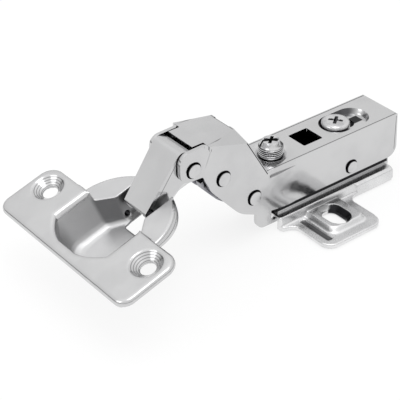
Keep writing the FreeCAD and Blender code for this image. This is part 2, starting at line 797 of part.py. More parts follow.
def build_adapter():
    inner = ADAPTER_HALF - SHEET
    body = side_prism(
        [
            (ADAPTER_FRONT - 3.8, SADDLE_TOP + 4.3, 2.0),
            (ADAPTER_FRONT - 3.8, ADAPTER_TOP, 2.0),
            (ADAPTER_REAR, ADAPTER_TOP, 1.0),
            (ADAPTER_REAR + 1.5, SADDLE_TOP, 0.0),
            (ADAPTER_FRONT + 1.0, SADDLE_TOP, 0.0),
            (ADAPTER_FRONT + 1.0, SADDLE_TOP + 2.0, 0.0),
            (ADAPTER_FRONT - 2.0, SADDLE_TOP + 4.3, 1.0),
        ],
        -ADAPTER_HALF,
        ADAPTER_HALF,
    )
    hollow = box(-30.0, 40.0, -inner, inner, -5.0, ADAPTER_TOP - SHEET)
    tab = side_prism(
        [
            (ADAPTER_FRONT - 7.5, SADDLE_TOP + 4.3, 1.2),
            (ADAPTER_FRONT - 7.5, HOOK_LOW, 3.4),
            (ADAPTER_FRONT + 0.9, HOOK_LOW, 0.4),
            (ADAPTER_FRONT + 0.9, SADDLE_TOP - PLATE_SHEET - 0.15, 0.3),
            (ADAPTER_FRONT - 1.6, SADDLE_TOP - PLATE_SHEET - 0.15, 0.7),
            (ADAPTER_FRONT - 1.6, SADDLE_TOP + 6.0, 0.0),
            (ADAPTER_FRONT - 3.6, SADDLE_TOP + 6.0, 0.0),
        ],
        -ADAPTER_HALF,
        ADAPTER_HALF,
    )
    adapter = fuse([body, tab]).cut(hollow)
    # Keyway that holds the neck of the side adjusting screw while the arm slides.
    adapter = adapter.cut(plan_prism(
        slot_corners(SIDE_SCREW_X - CLAMP_TRAVEL, SIDE_SCREW_X, 0.0, 2.1),
        ADAPTER_TOP - 3.0,
        ADAPTER_TOP + 1.0,
    ))
    adapter = adapter.cut(box(-3.5, 6.0, -4.2, 4.2, ADAPTER_TOP - 3.0, ADAPTER_TOP + 1.0))
    boss = post(CLAMP_X, 0.0, CLAMP_SHANK_R + 1.4, ADAPTER_TOP - 4.0, ADAPTER_TOP - SHEET)
    adapter = fuse([adapter, boss])
    adapter = adapter.cut(post(CLAMP_X, 0.0, CLAMP_SHANK_R + RUN_GAP, 5.0, ADAPTER_TOP + 1.0))
    guide = side_prism(
        [
            (GUIDE_X - CLAMP_TRAVEL - GUIDE_R - 0.1, GUIDE_Z - GUIDE_R - 0.1, GUIDE_R + 0.1),
            (GUIDE_X + GUIDE_R + 0.1, GUIDE_Z - GUIDE_R - 0.1, GUIDE_R + 0.1),
            (GUIDE_X + GUIDE_R + 0.1, GUIDE_Z + GUIDE_R + 0.1, GUIDE_R + 0.1),
            (GUIDE_X - CLAMP_TRAVEL - GUIDE_R - 0.1, GUIDE_Z + GUIDE_R + 0.1, GUIDE_R + 0.1),
        ],
        -10.0,
        10.0,
    )
    adapter = adapter.cut(guide)
    adapter = adapter.cut(pin(CATCH_X, CATCH_Z, CATCH_PIN_R, 10.0))
    return adapter


def screw_cross(x, z_top, length, width, depth):
    across = box(x - length / 2.0, x + length / 2.0, -width / 2.0, width / 2.0, z_top - depth, z_top + 1.0)
    along = box(x - width / 2.0, x + width / 2.0, -length / 2.0, length / 2.0, z_top - depth, z_top + 1.0)
    cross = fuse([across, along])
    cross.rotate(vec(x, 0.0, z_top), vec(0.0, 0.0, 1.0), 38.0)
    return cross


def build_side_screw():
    top = ARM_TOP + 4.4
    foot = ADAPTER_TOP
    profile = [
        vec(0.0, 0.0, foot - SHEET - 1.2),
        vec(2.9, 0.0, foot - SHEET - 1.2),
        vec(2.9, 0.0, foot - SHEET - 0.1),
        vec(2.0, 0.0, foot - SHEET - 0.1),
        vec(2.0, 0.0, foot),
        vec(SIDE_SCREW_R, 0.0, foot),
    ]
    z = ARM_TOP + 0.5
    profile.append(vec(SIDE_SCREW_R, 0.0, z))
    pitch = 0.95
    while z + pitch < ARM_TOP + 3.0:
        profile.append(vec(SIDE_SCREW_R - 0.35, 0.0, z + pitch * 0.5))
        profile.append(vec(SIDE_SCREW_R, 0.0, z + pitch))
        z = z + pitch
    profile.append(vec(SIDE_SCREW_R - 0.35, 0.0, z + 0.3))
    profile.append(vec(SIDE_SCREW_R - 1.1, 0.0, top))
    profile.append(vec(0.0, 0.0, top))
    profile.append(profile[0])
    face = Part.Face(Part.makePolygon(profile))
    screw = face.revolve(vec(0.0, 0.0, 0.0), vec(0.0, 0.0, 1.0), 360.0)
    screw.translate(vec(SIDE_SCREW_X, 0.0, 0.0))
    slot = box(SIDE_SCREW_X - 5.0, SIDE_SCREW_X + 5.0, -0.55, 0.55, top - 1.9, top + 1.0)
    slot.rotate(vec(SIDE_SCREW_X, 0.0, top), vec(0.0, 0.0, 1.0), -25.0)
    screw = screw.cut(slot)
    screw = screw.cut(screw_cross(SIDE_SCREW_X, top, 4.2, 1.0, 2.2))
    return screw


def build_clamp_screw():
    seat = ADAPTER_TOP + SHEET
    top = seat + 3.0
    profile = [
        (0.0, ADAPTER_TOP - 6.0),
        (CLAMP_SHANK_R, ADAPTER_TOP - 6.0),
        (CLAMP_SHANK_R, seat),
        (CLAMP_HEAD_R - 0.6, seat),
        (CLAMP_HEAD_R, seat + 0.6),
    ]
    for rise, inset in arc_steps(1.1):
        profile.append((CLAMP_HEAD_R - inset, top - 1.1 + rise))
    profile.append((0.0, top + 0.2))
    screw = turned(profile)
    screw.translate(vec(CLAMP_X, 0.0, 0.0))
    return screw.cut(screw_cross(CLAMP_X, top + 0.2, 4.6, 1.1, 2.2))


def build_catch():
    half = ADAPTER_HALF - SHEET - 0.2
    cheek = side_prism(
        [
            (CATCH_X - 2.4, CATCH_Z + 2.4, 2.2),
            (CATCH_X - 2.4, CATCH_Z - 2.4, 2.2),
            (CATCH_X + 3.6, CATCH_Z - 2.4, 1.0),
            (CATCH_X + 6.6, CATCH_Z - 5.0, 1.0),
            (CATCH_X + 6.6, SADDLE_TOP - PLATE_SHEET - 0.15, 0.4),
            (CATCH_X + 4.8, SADDLE_TOP - PLATE_SHEET - 0.95, 0.2),
            (CATCH_X + 4.8, 1.0, 0.2),
            (CATCH_X + 8.3, 1.6, 1.2),
            (CATCH_X + 8.5, CATCH_Z + 2.4, 1.0),
        ],
        half - SHEET,
        half,
    )
    bridge = box(CATCH_X + 3.4, CATCH_X + 7.8, -half, half, CATCH_Z + 0.3, CATCH_Z + 1.5)
    press = side_prism(
        [
            (CATCH_X + 7.2, CATCH_Z + 2.4, 0.0),
            (CATCH_X + 7.2, CATCH_Z - 4.5, 0.5),
            (CATCH_X + 8.4, CATCH_Z - 4.5, 0.5),
            (CATCH_X + 8.4, CATCH_Z + 2.4, 0.9),
        ],
        -half,
        half,
    )
    catch = fuse(both_sides(cheek) + [bridge, press])
    return catch.cut(pin(CATCH_X, CATCH_Z, CATCH_PIN_R + RUN_GAP, 10.0))


def build_catch_spring():
    # Wire spring coiled on the catch pin: one leg stands up to the adapter roof, one lies on the bridge.
    coil_r = CATCH_PIN_R + SPRING_WIRE_R + 0.1
    pitch = SPRING_WIRE_R * 2.3
    steps = int(round(SPRING_TURNS * COIL_STEPS))
    points = [vec(coil_r, -SPRING_LEG_UP, 0.0)]
    for i in range(steps + 1):
        turn = 2.0 * math.pi * i / COIL_STEPS
        points.append(vec(coil_r * math.cos(turn), coil_r * math.sin(turn), pitch * i / COIL_STEPS))
    height = pitch * steps / COIL_STEPS
    points.append(vec(SPRING_LEG_BACK, -coil_r, height))
    wire = Part.makePolygon(points)
    section = Part.Wire([Part.makeCircle(SPRING_WIRE_R, points[0], points[1] - points[0])])
    spring = wire.makePipeShell([section], True, False, 1)
    spring.rotate(vec(0.0, 0.0, 0.0), vec(1.0, 0.0, 0.0), -90.0)
    spring.translate(vec(CATCH_X, -height / 2.0, CATCH_Z))
    return spring


def build_catch_pin():
    return pin(CATCH_X, CATCH_Z, CATCH_PIN_R, ADAPTER_HALF)


def build_plate():
    low = [
        (PLATE_FRONT, -PLATE_HALF, 1.5),
        (WING_FRONT, -PLATE_HALF - 1.2, 2.5),
        (WING_FRONT, -WING_HALF, 4.0),
        (WING_REAR, -WING_HALF, 4.0),
        (WING_REAR, -PLATE_HALF, 4.0),
        (PLATE_REAR, -PLATE_HALF, 1.0),
    ]
    high = [(x, -y, r) for x, y, r in low]
    high.reverse()
    base = plan_prism(low + high, 0.0, PLATE_SHEET)
    saddle_low = [
        (PLATE_FRONT, -SADDLE_HALF - 0.8, 0.5),
        (PLATE_REAR, -SADDLE_HALF - 0.8, 0.5),
        (PLATE_REAR, SADDLE_HALF + 0.8, 0.5),
        (PLATE_FRONT, SADDLE_HALF + 0.8, 0.5),
    ]
    saddle_high = [
        (PLATE_FRONT, -SADDLE_HALF, 0.5),
        (PLATE_REAR, -SADDLE_HALF, 0.5),
        (PLATE_REAR, SADDLE_HALF, 0.5),
        (PLATE_FRONT, SADDLE_HALF, 0.5),
    ]
    saddle = plan_loft(saddle_low, 0.0, saddle_high, SADDLE_TOP)
    islands = []
    pockets = []
    for side in (-1.0, 1.0):
        y0 = side * (PLATE_HALF - 1.0)
        y1 = side * (WING_HALF - 3.4)
        islands.append(plan_loft(
            island_corners(y0, y1, 0.0),
            0.5,
            island_corners(y0, y1, -1.7),
            ISLAND_Z,
        ))
        pockets.append(plan_loft(
            island_corners(side * (PLATE_HALF + 1.0), y1, -1.0),
            -0.5,
            island_corners(side * (PLATE_HALF + 1.0), y1, -2.8),
            ISLAND_Z - PLATE_SHEET,
        ))
    ledge = plan_loft(
        ledge_corners(REAR_STEP_HALF + 0.4),
        PLATE_SHEET - 0.5,
        ledge_corners(REAR_STEP_HALF),
        SADDLE_TOP - 0.4,
    )
    plate = fuse([base, saddle, ledge] + islands)
    inner = SADDLE_HALF - PLATE_SHEET
    plate = plate.cut(box(PLATE_FRONT - 1.0, PLATE_REAR + 1.0, -inner, inner, -1.0, SADDLE_TOP - PLATE_SHEET))
    for pocket in pockets:
        plate = plate.cut(pocket)
    for side in (-1.0, 1.0):
        y = side * SLOT_PITCH / 2.0
        reach = SLOT_STRAIGHT / 2.0
        collar = side_slot(y, reach, SLOT_R + 1.4, 0.0, ISLAND_Z - 0.2)
        plate = plate.fuse(collar)
        plate = plate.cut(side_slot(y, reach, SLOT_R, -1.0, ISLAND_Z + 1.0))
        sink = plan_loft(
            side_slot_corners(y, reach, SLOT_R),
            ISLAND_Z - 1.6,
            side_slot_corners(y, reach, SLOT_R + 1.5),
            ISLAND_Z,
        )
        plate = plate.cut(sink)
        y0 = side * (PLATE_HALF + 0.2)
        y1 = side * (WING_HALF - 3.0)
        plate = plate.cut(plan_prism(
            [
                (WING_FRONT + 2.4, y0, 0.5),
                (WING_FRONT + 4.6, y0, 0.5),
                (WING_FRONT + 4.6, y1, 0.5),
                (WING_FRONT + 2.4, y1, 0.5),
            ],
            PLATE_SHEET - 0.7,
            PLATE_SHEET + 1.0,
        ))
    return plate.removeSplitter()


def ledge_corners(half):
    return [
        (REAR_STEP_X, -half, 1.5),
        (PLATE_REAR, -half, 0.5),
        (PLATE_REAR, half, 0.5),
        (REAR_STEP_X, half, 1.5),
    ]


def island_corners(y0, y1, grow):
    return [
        (WING_FRONT + 4.8 - grow, y0, 0.0),
        (WING_REAR - 2.2 + grow, y0, 0.0),
        (WING_REAR - 2.2 + grow, y1 + grow * math.copysign(1.0, y1), 2.5),
        (WING_FRONT + 4.8 - grow, y1 + grow * math.copysign(1.0, y1), 2.5),
    ]


def side_slot_corners(y, reach, r):
    return [(-r, y - reach - r, r), (r, y - reach - r, r), (r, y + reach + r, r), (-r, y + reach + r, r)]


def side_slot(y, reach, r, z0, z1):
    return plan_prism(side_slot_corners(y, reach, r), z0, z1)


def save(shape, name):
    shape.exportStep(os.path.join("parts", name + ".step"))


def main():
    os.makedirs("parts", exist_ok=True)
    save(build_plate(), "mounting_plate")
    save(build_adapter(), "clip_adapter")
    save(build_catch(), "release_catch")
    save(build_catch_pin(), "catch_pin")
    save(build_catch_spring(), "catch_spring")
    save(build_clamp_screw(), "clamping_screw")
    save(build_side_screw(), "side_screw")
    save(build_arm(), "cranked_arm")
    save(build_rivet(KNUCKLE_X, KNUCKLE_Z, RIVET_R, EAR_HALF), "knuckle_rivet")
    save(build_rivet(LINK_X, LINK_Z, RIVET_R, NECK_HALF), "link_rivet")
    save(build_rivet(SPRING_X, SPRING_Z, RIVET_R, NECK_HALF), "spring_rivet")
    save(build_rivet(GUIDE_X, GUIDE_Z, GUIDE_R, ARM_HALF), "guide_rivet")
    save(build_spring(), "closing_spring")
    save(build_outer_link(), "outer_link")
    save(build_inner_link(), "inner_link")
    save(build_inner_link_pin(), "inner_link_pin")
    save(build_outer_link_pins(), "outer_link_pins")
    save(build_cup(), "hinge_cup")


main()
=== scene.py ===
"""Looks of a cranked concealed cup hinge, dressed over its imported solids, in metres.

X runs from the cup back along the arm, Y is the hinge axis direction and Z leaves the mounting plate.
"""

import logging
import math
from dataclasses import dataclass
from enum import Enum

import bpy
import numpy as np
from mathutils import Matrix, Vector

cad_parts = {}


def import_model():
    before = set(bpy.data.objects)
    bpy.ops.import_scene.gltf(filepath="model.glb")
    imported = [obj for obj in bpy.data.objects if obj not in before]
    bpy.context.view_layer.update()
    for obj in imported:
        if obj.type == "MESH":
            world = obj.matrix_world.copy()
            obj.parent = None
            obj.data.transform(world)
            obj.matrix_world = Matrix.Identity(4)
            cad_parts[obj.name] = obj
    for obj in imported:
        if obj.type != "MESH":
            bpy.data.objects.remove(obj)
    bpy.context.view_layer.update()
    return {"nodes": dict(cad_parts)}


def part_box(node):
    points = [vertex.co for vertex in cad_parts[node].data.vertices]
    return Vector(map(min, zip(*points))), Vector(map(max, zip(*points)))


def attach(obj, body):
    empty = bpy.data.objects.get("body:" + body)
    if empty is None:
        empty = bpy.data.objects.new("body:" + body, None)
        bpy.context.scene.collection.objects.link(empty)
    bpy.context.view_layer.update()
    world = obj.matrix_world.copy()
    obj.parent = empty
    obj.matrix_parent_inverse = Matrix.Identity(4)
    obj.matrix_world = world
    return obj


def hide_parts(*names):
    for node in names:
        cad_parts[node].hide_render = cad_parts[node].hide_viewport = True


LOG = logging.getLogger("cup_hinge")
MM = 0.001

Colour = tuple[float, float, float]
Triple = tuple[float, float, float]
Band = tuple[float, float]

UPWARD = (0.0, 0.0, 1.0)
OUTWARD = (0.0, 1.0, 0.0)
LENGTHWISE = (1.0, 0.0, 0.0)
FORWARD = (-1.0, 0.0, 0.0)

# Cup frame in the open pose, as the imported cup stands
CUP_LEAN = math.radians(17.0)
CUP_MOUTH = (-71.4 * MM, 0.0, 26.1 * MM)
INTO_CUP = (math.sin(CUP_LEAN), 0.0, -math.cos(CUP_LEAN))
OUT_OF_CUP = (-math.sin(CUP_LEAN), 0.0, math.cos(CUP_LEAN))
TOWARD_ARM = (math.cos(CUP_LEAN), 0.0, math.sin(CUP_LEAN))

SIDE_SCREW_X = -12.6 * MM
ARM_TOP = 22.5 * MM
SINK_BACK = 5.9 * MM
SINK_ASIDE = 24.0 * MM
SINK_CENTRE = (
    CUP_MOUTH[0] - SINK_BACK * math.cos(CUP_LEAN),
    SINK_ASIDE,
    CUP_MOUTH[2] - SINK_BACK * math.sin(CUP_LEAN),
)

# Values that every plated finish shares
TUB_DULLNESS = 0.26
# Colour of the painted shade lines, patches and rings
PAINTED_SHADE_COLOUR = (0.025, 0.025, 0.027)
GRAIN_CELLS = 2600.0
CLOUD_SPREAD = (0.38, 0.66)
GRAIN_SPREAD = (0.3, 0.7)
SHELTER_SPREAD = (0.15, 0.62)

# Bands over which the masks of sheltered faces come or go
HOOK_EDGE = (-18.0 * MM, -16.8 * MM)
SADDLE_LINE = (5.0 * MM, 5.2 * MM)
RIM_TURN = (0.45, 0.85)
THREAD_ROOT = (3.80 * MM, 3.92 * MM)
THREAD_FOOT = (22.2 * MM, 22.6 * MM)
THREAD_HEAD = (25.0 * MM, 25.2 * MM)
CHANNEL_TURN = (0.3, 0.8)
WALL_TURN = (0.40, 0.75)
WAIST = (-0.8 * MM, 0.8 * MM)
BEFORE_WAIST = 0.12
FAR_TURN = (-0.2, 0.2)
INWARD_TURN = (0.0, 0.2)
TUB_SHADE_ENTRY = (0.9 * MM, 3.6 * MM)
TUB_DULL_ENTRY = (0.8 * MM, 2.6 * MM)

# Facets of a CAD node closer than this are joined
FACET_REACH = 0.002 * MM


class Recess(Enum):
    """Where a pressing's sheltered faces lie, whose colour is darkened as painted shade."""

    NONE = "none"
    CHANNEL = "channel"
    CUP = "cup"
    COVERED = "covered"
    THREAD = "thread"
    RIM = "rim"


class NodeSheet:
    """A material or world node tree that is filled node by node."""

    def __init__(self, tree: bpy.types.NodeTree) -> None:
        """Empties the tree and keeps it.

        Args:
            tree: the node tree to fill.
        """
        self.tree = tree
        self.tree.nodes.clear()

    def add(self, kind: str, **settings: object) -> bpy.types.Node:
        """Adds one node.

        Args:
            kind: Blender's type name of the node.
            settings: properties of the node to set.

        Returns:
            The new node.
        """
        node = self.tree.nodes.new(kind)
        for name, value in settings.items():
            setattr(node, name, value)
        return node

    def link(self, source: bpy.types.NodeSocket, target: bpy.types.NodeSocket) -> None:
        """Joins an output socket to an input socket.

        Args:
            source: the output socket.
            target: the input socket.
        """
        self.tree.links.new(source, target)

    def maths(self, operation: str, first: object, second: object = 0.0) -> bpy.types.NodeSocket:
        """Adds a Math node.

        Args:
            operation: Blender's name of the operation.
            first: a socket or a number.
            second: a socket or a number.

        Returns:
            The node's output socket.
        """
        node = self.add("ShaderNodeMath", operation=operation)
        for slot, value in zip(node.inputs, (first, second)):
            if isinstance(value, bpy.types.NodeSocket):
                self.link(value, slot)
            else:
                slot.default_value = value
        return node.outputs[0]

    def vectors(self, operation: str, first: object, second: object = (0.0, 0.0, 0.0)) -> bpy.types.Node:
        """Adds a Vector Math node.

        Args:
            operation: Blender's name of the operation.
            first: a vector socket or a fixed vector.
            second: a vector socket or a fixed vector.

        Returns:
            The node, whose Vector or Value output holds the result.
        """
        node = self.add("ShaderNodeVectorMath", operation=operation)
        for slot, value in zip(node.inputs, (first, second)):
            if isinstance(value, bpy.types.NodeSocket):
                self.link(value, slot)
            else:
                slot.default_value = value
        return node

    def dot(self, first: object, second: object) -> bpy.types.NodeSocket:
        """Adds the dot product of two vectors.

        Args:
            first: a vector socket or a fixed vector.
            second: a vector socket or a fixed vector.

        Returns:
            The product's socket.
        """
        return self.vectors("DOT_PRODUCT", first, second).outputs["Value"]

    def ramp(
        self, value: bpy.types.NodeSocket, low: float, high: float, start: float, end: float
    ) -> bpy.types.NodeSocket:
        """Maps a value smoothly from low..high to start..end.

        Args:
            value: the socket that is mapped.
            low: the value that gives start.
            high: the value that gives end.
            start: result at and below low.
            end: result at and above high.

        Returns:
            The mapped socket.
        """
        node = self.add("ShaderNodeMapRange", interpolation_type="SMOOTHSTEP")
        self.link(value, node.inputs["Value"])
        node.inputs["From Min"].default_value = low
        node.inputs["From Max"].default_value = high
        node.inputs["To Min"].default_value = start
        node.inputs["To Max"].default_value = end
        return node.outputs["Result"]

    def both(self, *masks: bpy.types.NodeSocket) -> bpy.types.NodeSocket:
        """Multiplies masks, so that only what lies in all of them is left.

        Args:
            masks: two or more mask sockets.

        Returns:
            Their product.
        """
        total = masks[0]
        for mask in masks[1:]:
            total = self.maths("MULTIPLY", total, mask)
        return total

    def split(self, vector: bpy.types.NodeSocket) -> bpy.types.bpy_prop_collection:
        """Takes a vector apart.

        Args:
            vector: the vector socket.

        Returns:
            The X, Y and Z sockets.
        """
        node = self.add("ShaderNodeSeparateXYZ")
        self.link(vector, node.inputs[0])
        return node.outputs

    def bump(
        self, height: bpy.types.NodeSocket, distance: float, under: bpy.types.NodeSocket | None = None
    ) -> bpy.types.NodeSocket:
        """Adds a Bump node.

        Args:
            height: the height socket.
            distance: how far a height of one stands out, in metres.
            under: the normal that it starts from, or None for the surface's own.

        Returns:
            The bumped normal socket.
        """
        node = self.add("ShaderNodeBump")
        node.inputs["Distance"].default_value = distance
        self.link(height, node.inputs["Height"])
        if under is not None:
            self.link(under, node.inputs["Normal"])
        return node.outputs[0]

    def noise(self, coordinates: bpy.types.NodeSocket, scale: float, detail: float) -> bpy.types.NodeSocket:
        """Adds a noise texture.

        Args:
            coordinates: the coordinate socket.
            scale: cells per metre.
            detail: octaves.

        Returns:
            The noise value socket, about 0 to 1.
        """
        node = self.add("ShaderNodeTexNoise")
        self.link(coordinates, node.inputs["Vector"])
        node.inputs["Scale"].default_value = scale
        node.inputs["Detail"].default_value = detail
        return node.outputs["Fac"]

    def blend(self, amount: bpy.types.NodeSocket, first: object, second: object) -> bpy.types.NodeSocket:
        """Mixes two colours.

        Args:
            amount: 0 gives the first, 1 the second.
            first: a colour or a socket.
            second: a colour or a socket.

        Returns:
            The mixed colour socket.
        """
        node = self.add("ShaderNodeMix", data_type="RGBA")
        self.link(amount, node.inputs[0])
        for slot, value in ((node.inputs[6], first), (node.inputs[7], second)):
            if isinstance(value, bpy.types.NodeSocket):
                self.link(value, slot)
            else:
                slot.default_value = (*value, 1.0)
        return node.outputs[2]


@dataclass(frozen=True)
class ShadeLine:
    """A narrow line of painted shade on a pressing, where its sheet turns; both sides of the hinge carry it.

    Places are measured with y as its distance from the middle plane, and facing the same way.
    """

    across: Triple
    offset: float
    width: float
    along: Triple
    start: float
    end: float
    facing: Triple
    fade: float = 0.3 * MM
    depth: float = 1.0
    softness: float = 0.2
    run_out: float = 0.2 * MM
    turned: Band = (0.7, 0.9)

    def mask(
        self, sheet: NodeSheet, place: bpy.types.NodeSocket, facing: bpy.types.NodeSocket
    ) -> bpy.types.NodeSocket:
        """How strongly the line marks a point.

        Args:
            sheet: the material's node sheet.
            place: mirrored object coordinates.
            facing: mirrored object normal.

        Returns:
            The mask socket, 0 off the line and depth on it.
        """
        off = sheet.maths("ABSOLUTE", sheet.maths("SUBTRACT", sheet.dot(place, self.across), self.offset))
        half, soft = 0.5 * self.width, self.softness * self.width
        line = sheet.ramp(off, half - soft, half + soft, self.depth, 0.0)
        run = sheet.dot(place, self.along)
        begun = sheet.ramp(run, self.start, self.start + self.fade, 0.0, 1.0)
        going = sheet.ramp(run, self.end - self.run_out, self.end, 1.0, 0.0)
        carried = sheet.ramp(sheet.dot(facing, self.facing), *self.turned, 0.0, 1.0)
        return sheet.both(line, carried, begun, going)


@dataclass(frozen=True)
class Shade:
    """A soft dark patch on the faces of a pressing that point one way inside a box."""

    low: Triple
    high: Triple
    facing: Triple
    turned: float = 0.5
    depth: float = 1.0
    soft: Triple = (0.3 * MM, 0.3 * MM, 0.3 * MM)
    turn_band: float = 0.15

    def mask(
        self, sheet: NodeSheet, place: bpy.types.NodeSocket, facing: bpy.types.NodeSocket
    ) -> bpy.types.NodeSocket:
        """How dark a point is.

        Args:
            sheet: the material's node sheet.
            place: mirrored object coordinates.
            facing: mirrored object normal.

        Returns:
            The mask socket, 0 outside the patch and depth inside it.
        """
        least, most = self.turned - self.turn_band, self.turned + self.turn_band
        total = sheet.ramp(sheet.dot(facing, self.facing), least, most, 0.0, self.depth)
        for slot, low, high, soft in zip(sheet.split(place), self.low, self.high, self.soft):
            risen = sheet.ramp(slot, low, low + soft, 0.0, 1.0)
            going = sheet.ramp(slot, high - soft, high, 1.0, 0.0)
            total = sheet.both(total, risen, going)
        return total


@dataclass(frozen=True)
class RingShades:
    """Rings of painted shade down a countersink, dark once a pitch."""

    centre: Triple
    axis: Triple
    inner: float
    outer: float
    pitch: float
    depth: float
    edge: float = 0.1 * MM
    crest: Band = (0.1, 0.9)
    flat: Band = (0.85, 0.97)
    under: Band = (0.05, 0.2)

    def mask(
        self, sheet: NodeSheet, place: bpy.types.NodeSocket, facing: bpy.types.NodeSocket
    ) -> bpy.types.NodeSocket:
        """How dark a point is.

        Formula: dark where the sine of the distance from the axis, one full turn a pitch, is near
        its crest, on faces that slope and look up the axis.

        Args:
            sheet: the material's node sheet.
            place: mirrored object coordinates.
            facing: mirrored object normal.

        Returns:
            The mask socket, 0 between the rings and depth on them.
        """
        from_centre = sheet.vectors("SUBTRACT", place, self.centre).outputs["Vector"]
        away = sheet.vectors("CROSS_PRODUCT", from_centre, self.axis).outputs["Vector"]
        radius = sheet.vectors("LENGTH", away).outputs["Value"]
        wave = sheet.maths("SINE", sheet.maths("MULTIPLY", radius, 2.0 * math.pi / self.pitch))
        ring_shade = sheet.ramp(wave, *self.crest, 0.0, self.depth)
        begun = sheet.ramp(radius, self.inner - self.edge, self.inner, 0.0, 1.0)
        going = sheet.ramp(radius, self.outer - self.edge, self.outer, 1.0, 0.0)
        upright = sheet.dot(facing, self.axis)
        sloped = sheet.ramp(upright, *self.flat, 1.0, 0.0)
        above = sheet.ramp(upright, *self.under, 0.0, 1.0)
        return sheet.both(ring_shade, sloped, above, begun, going)


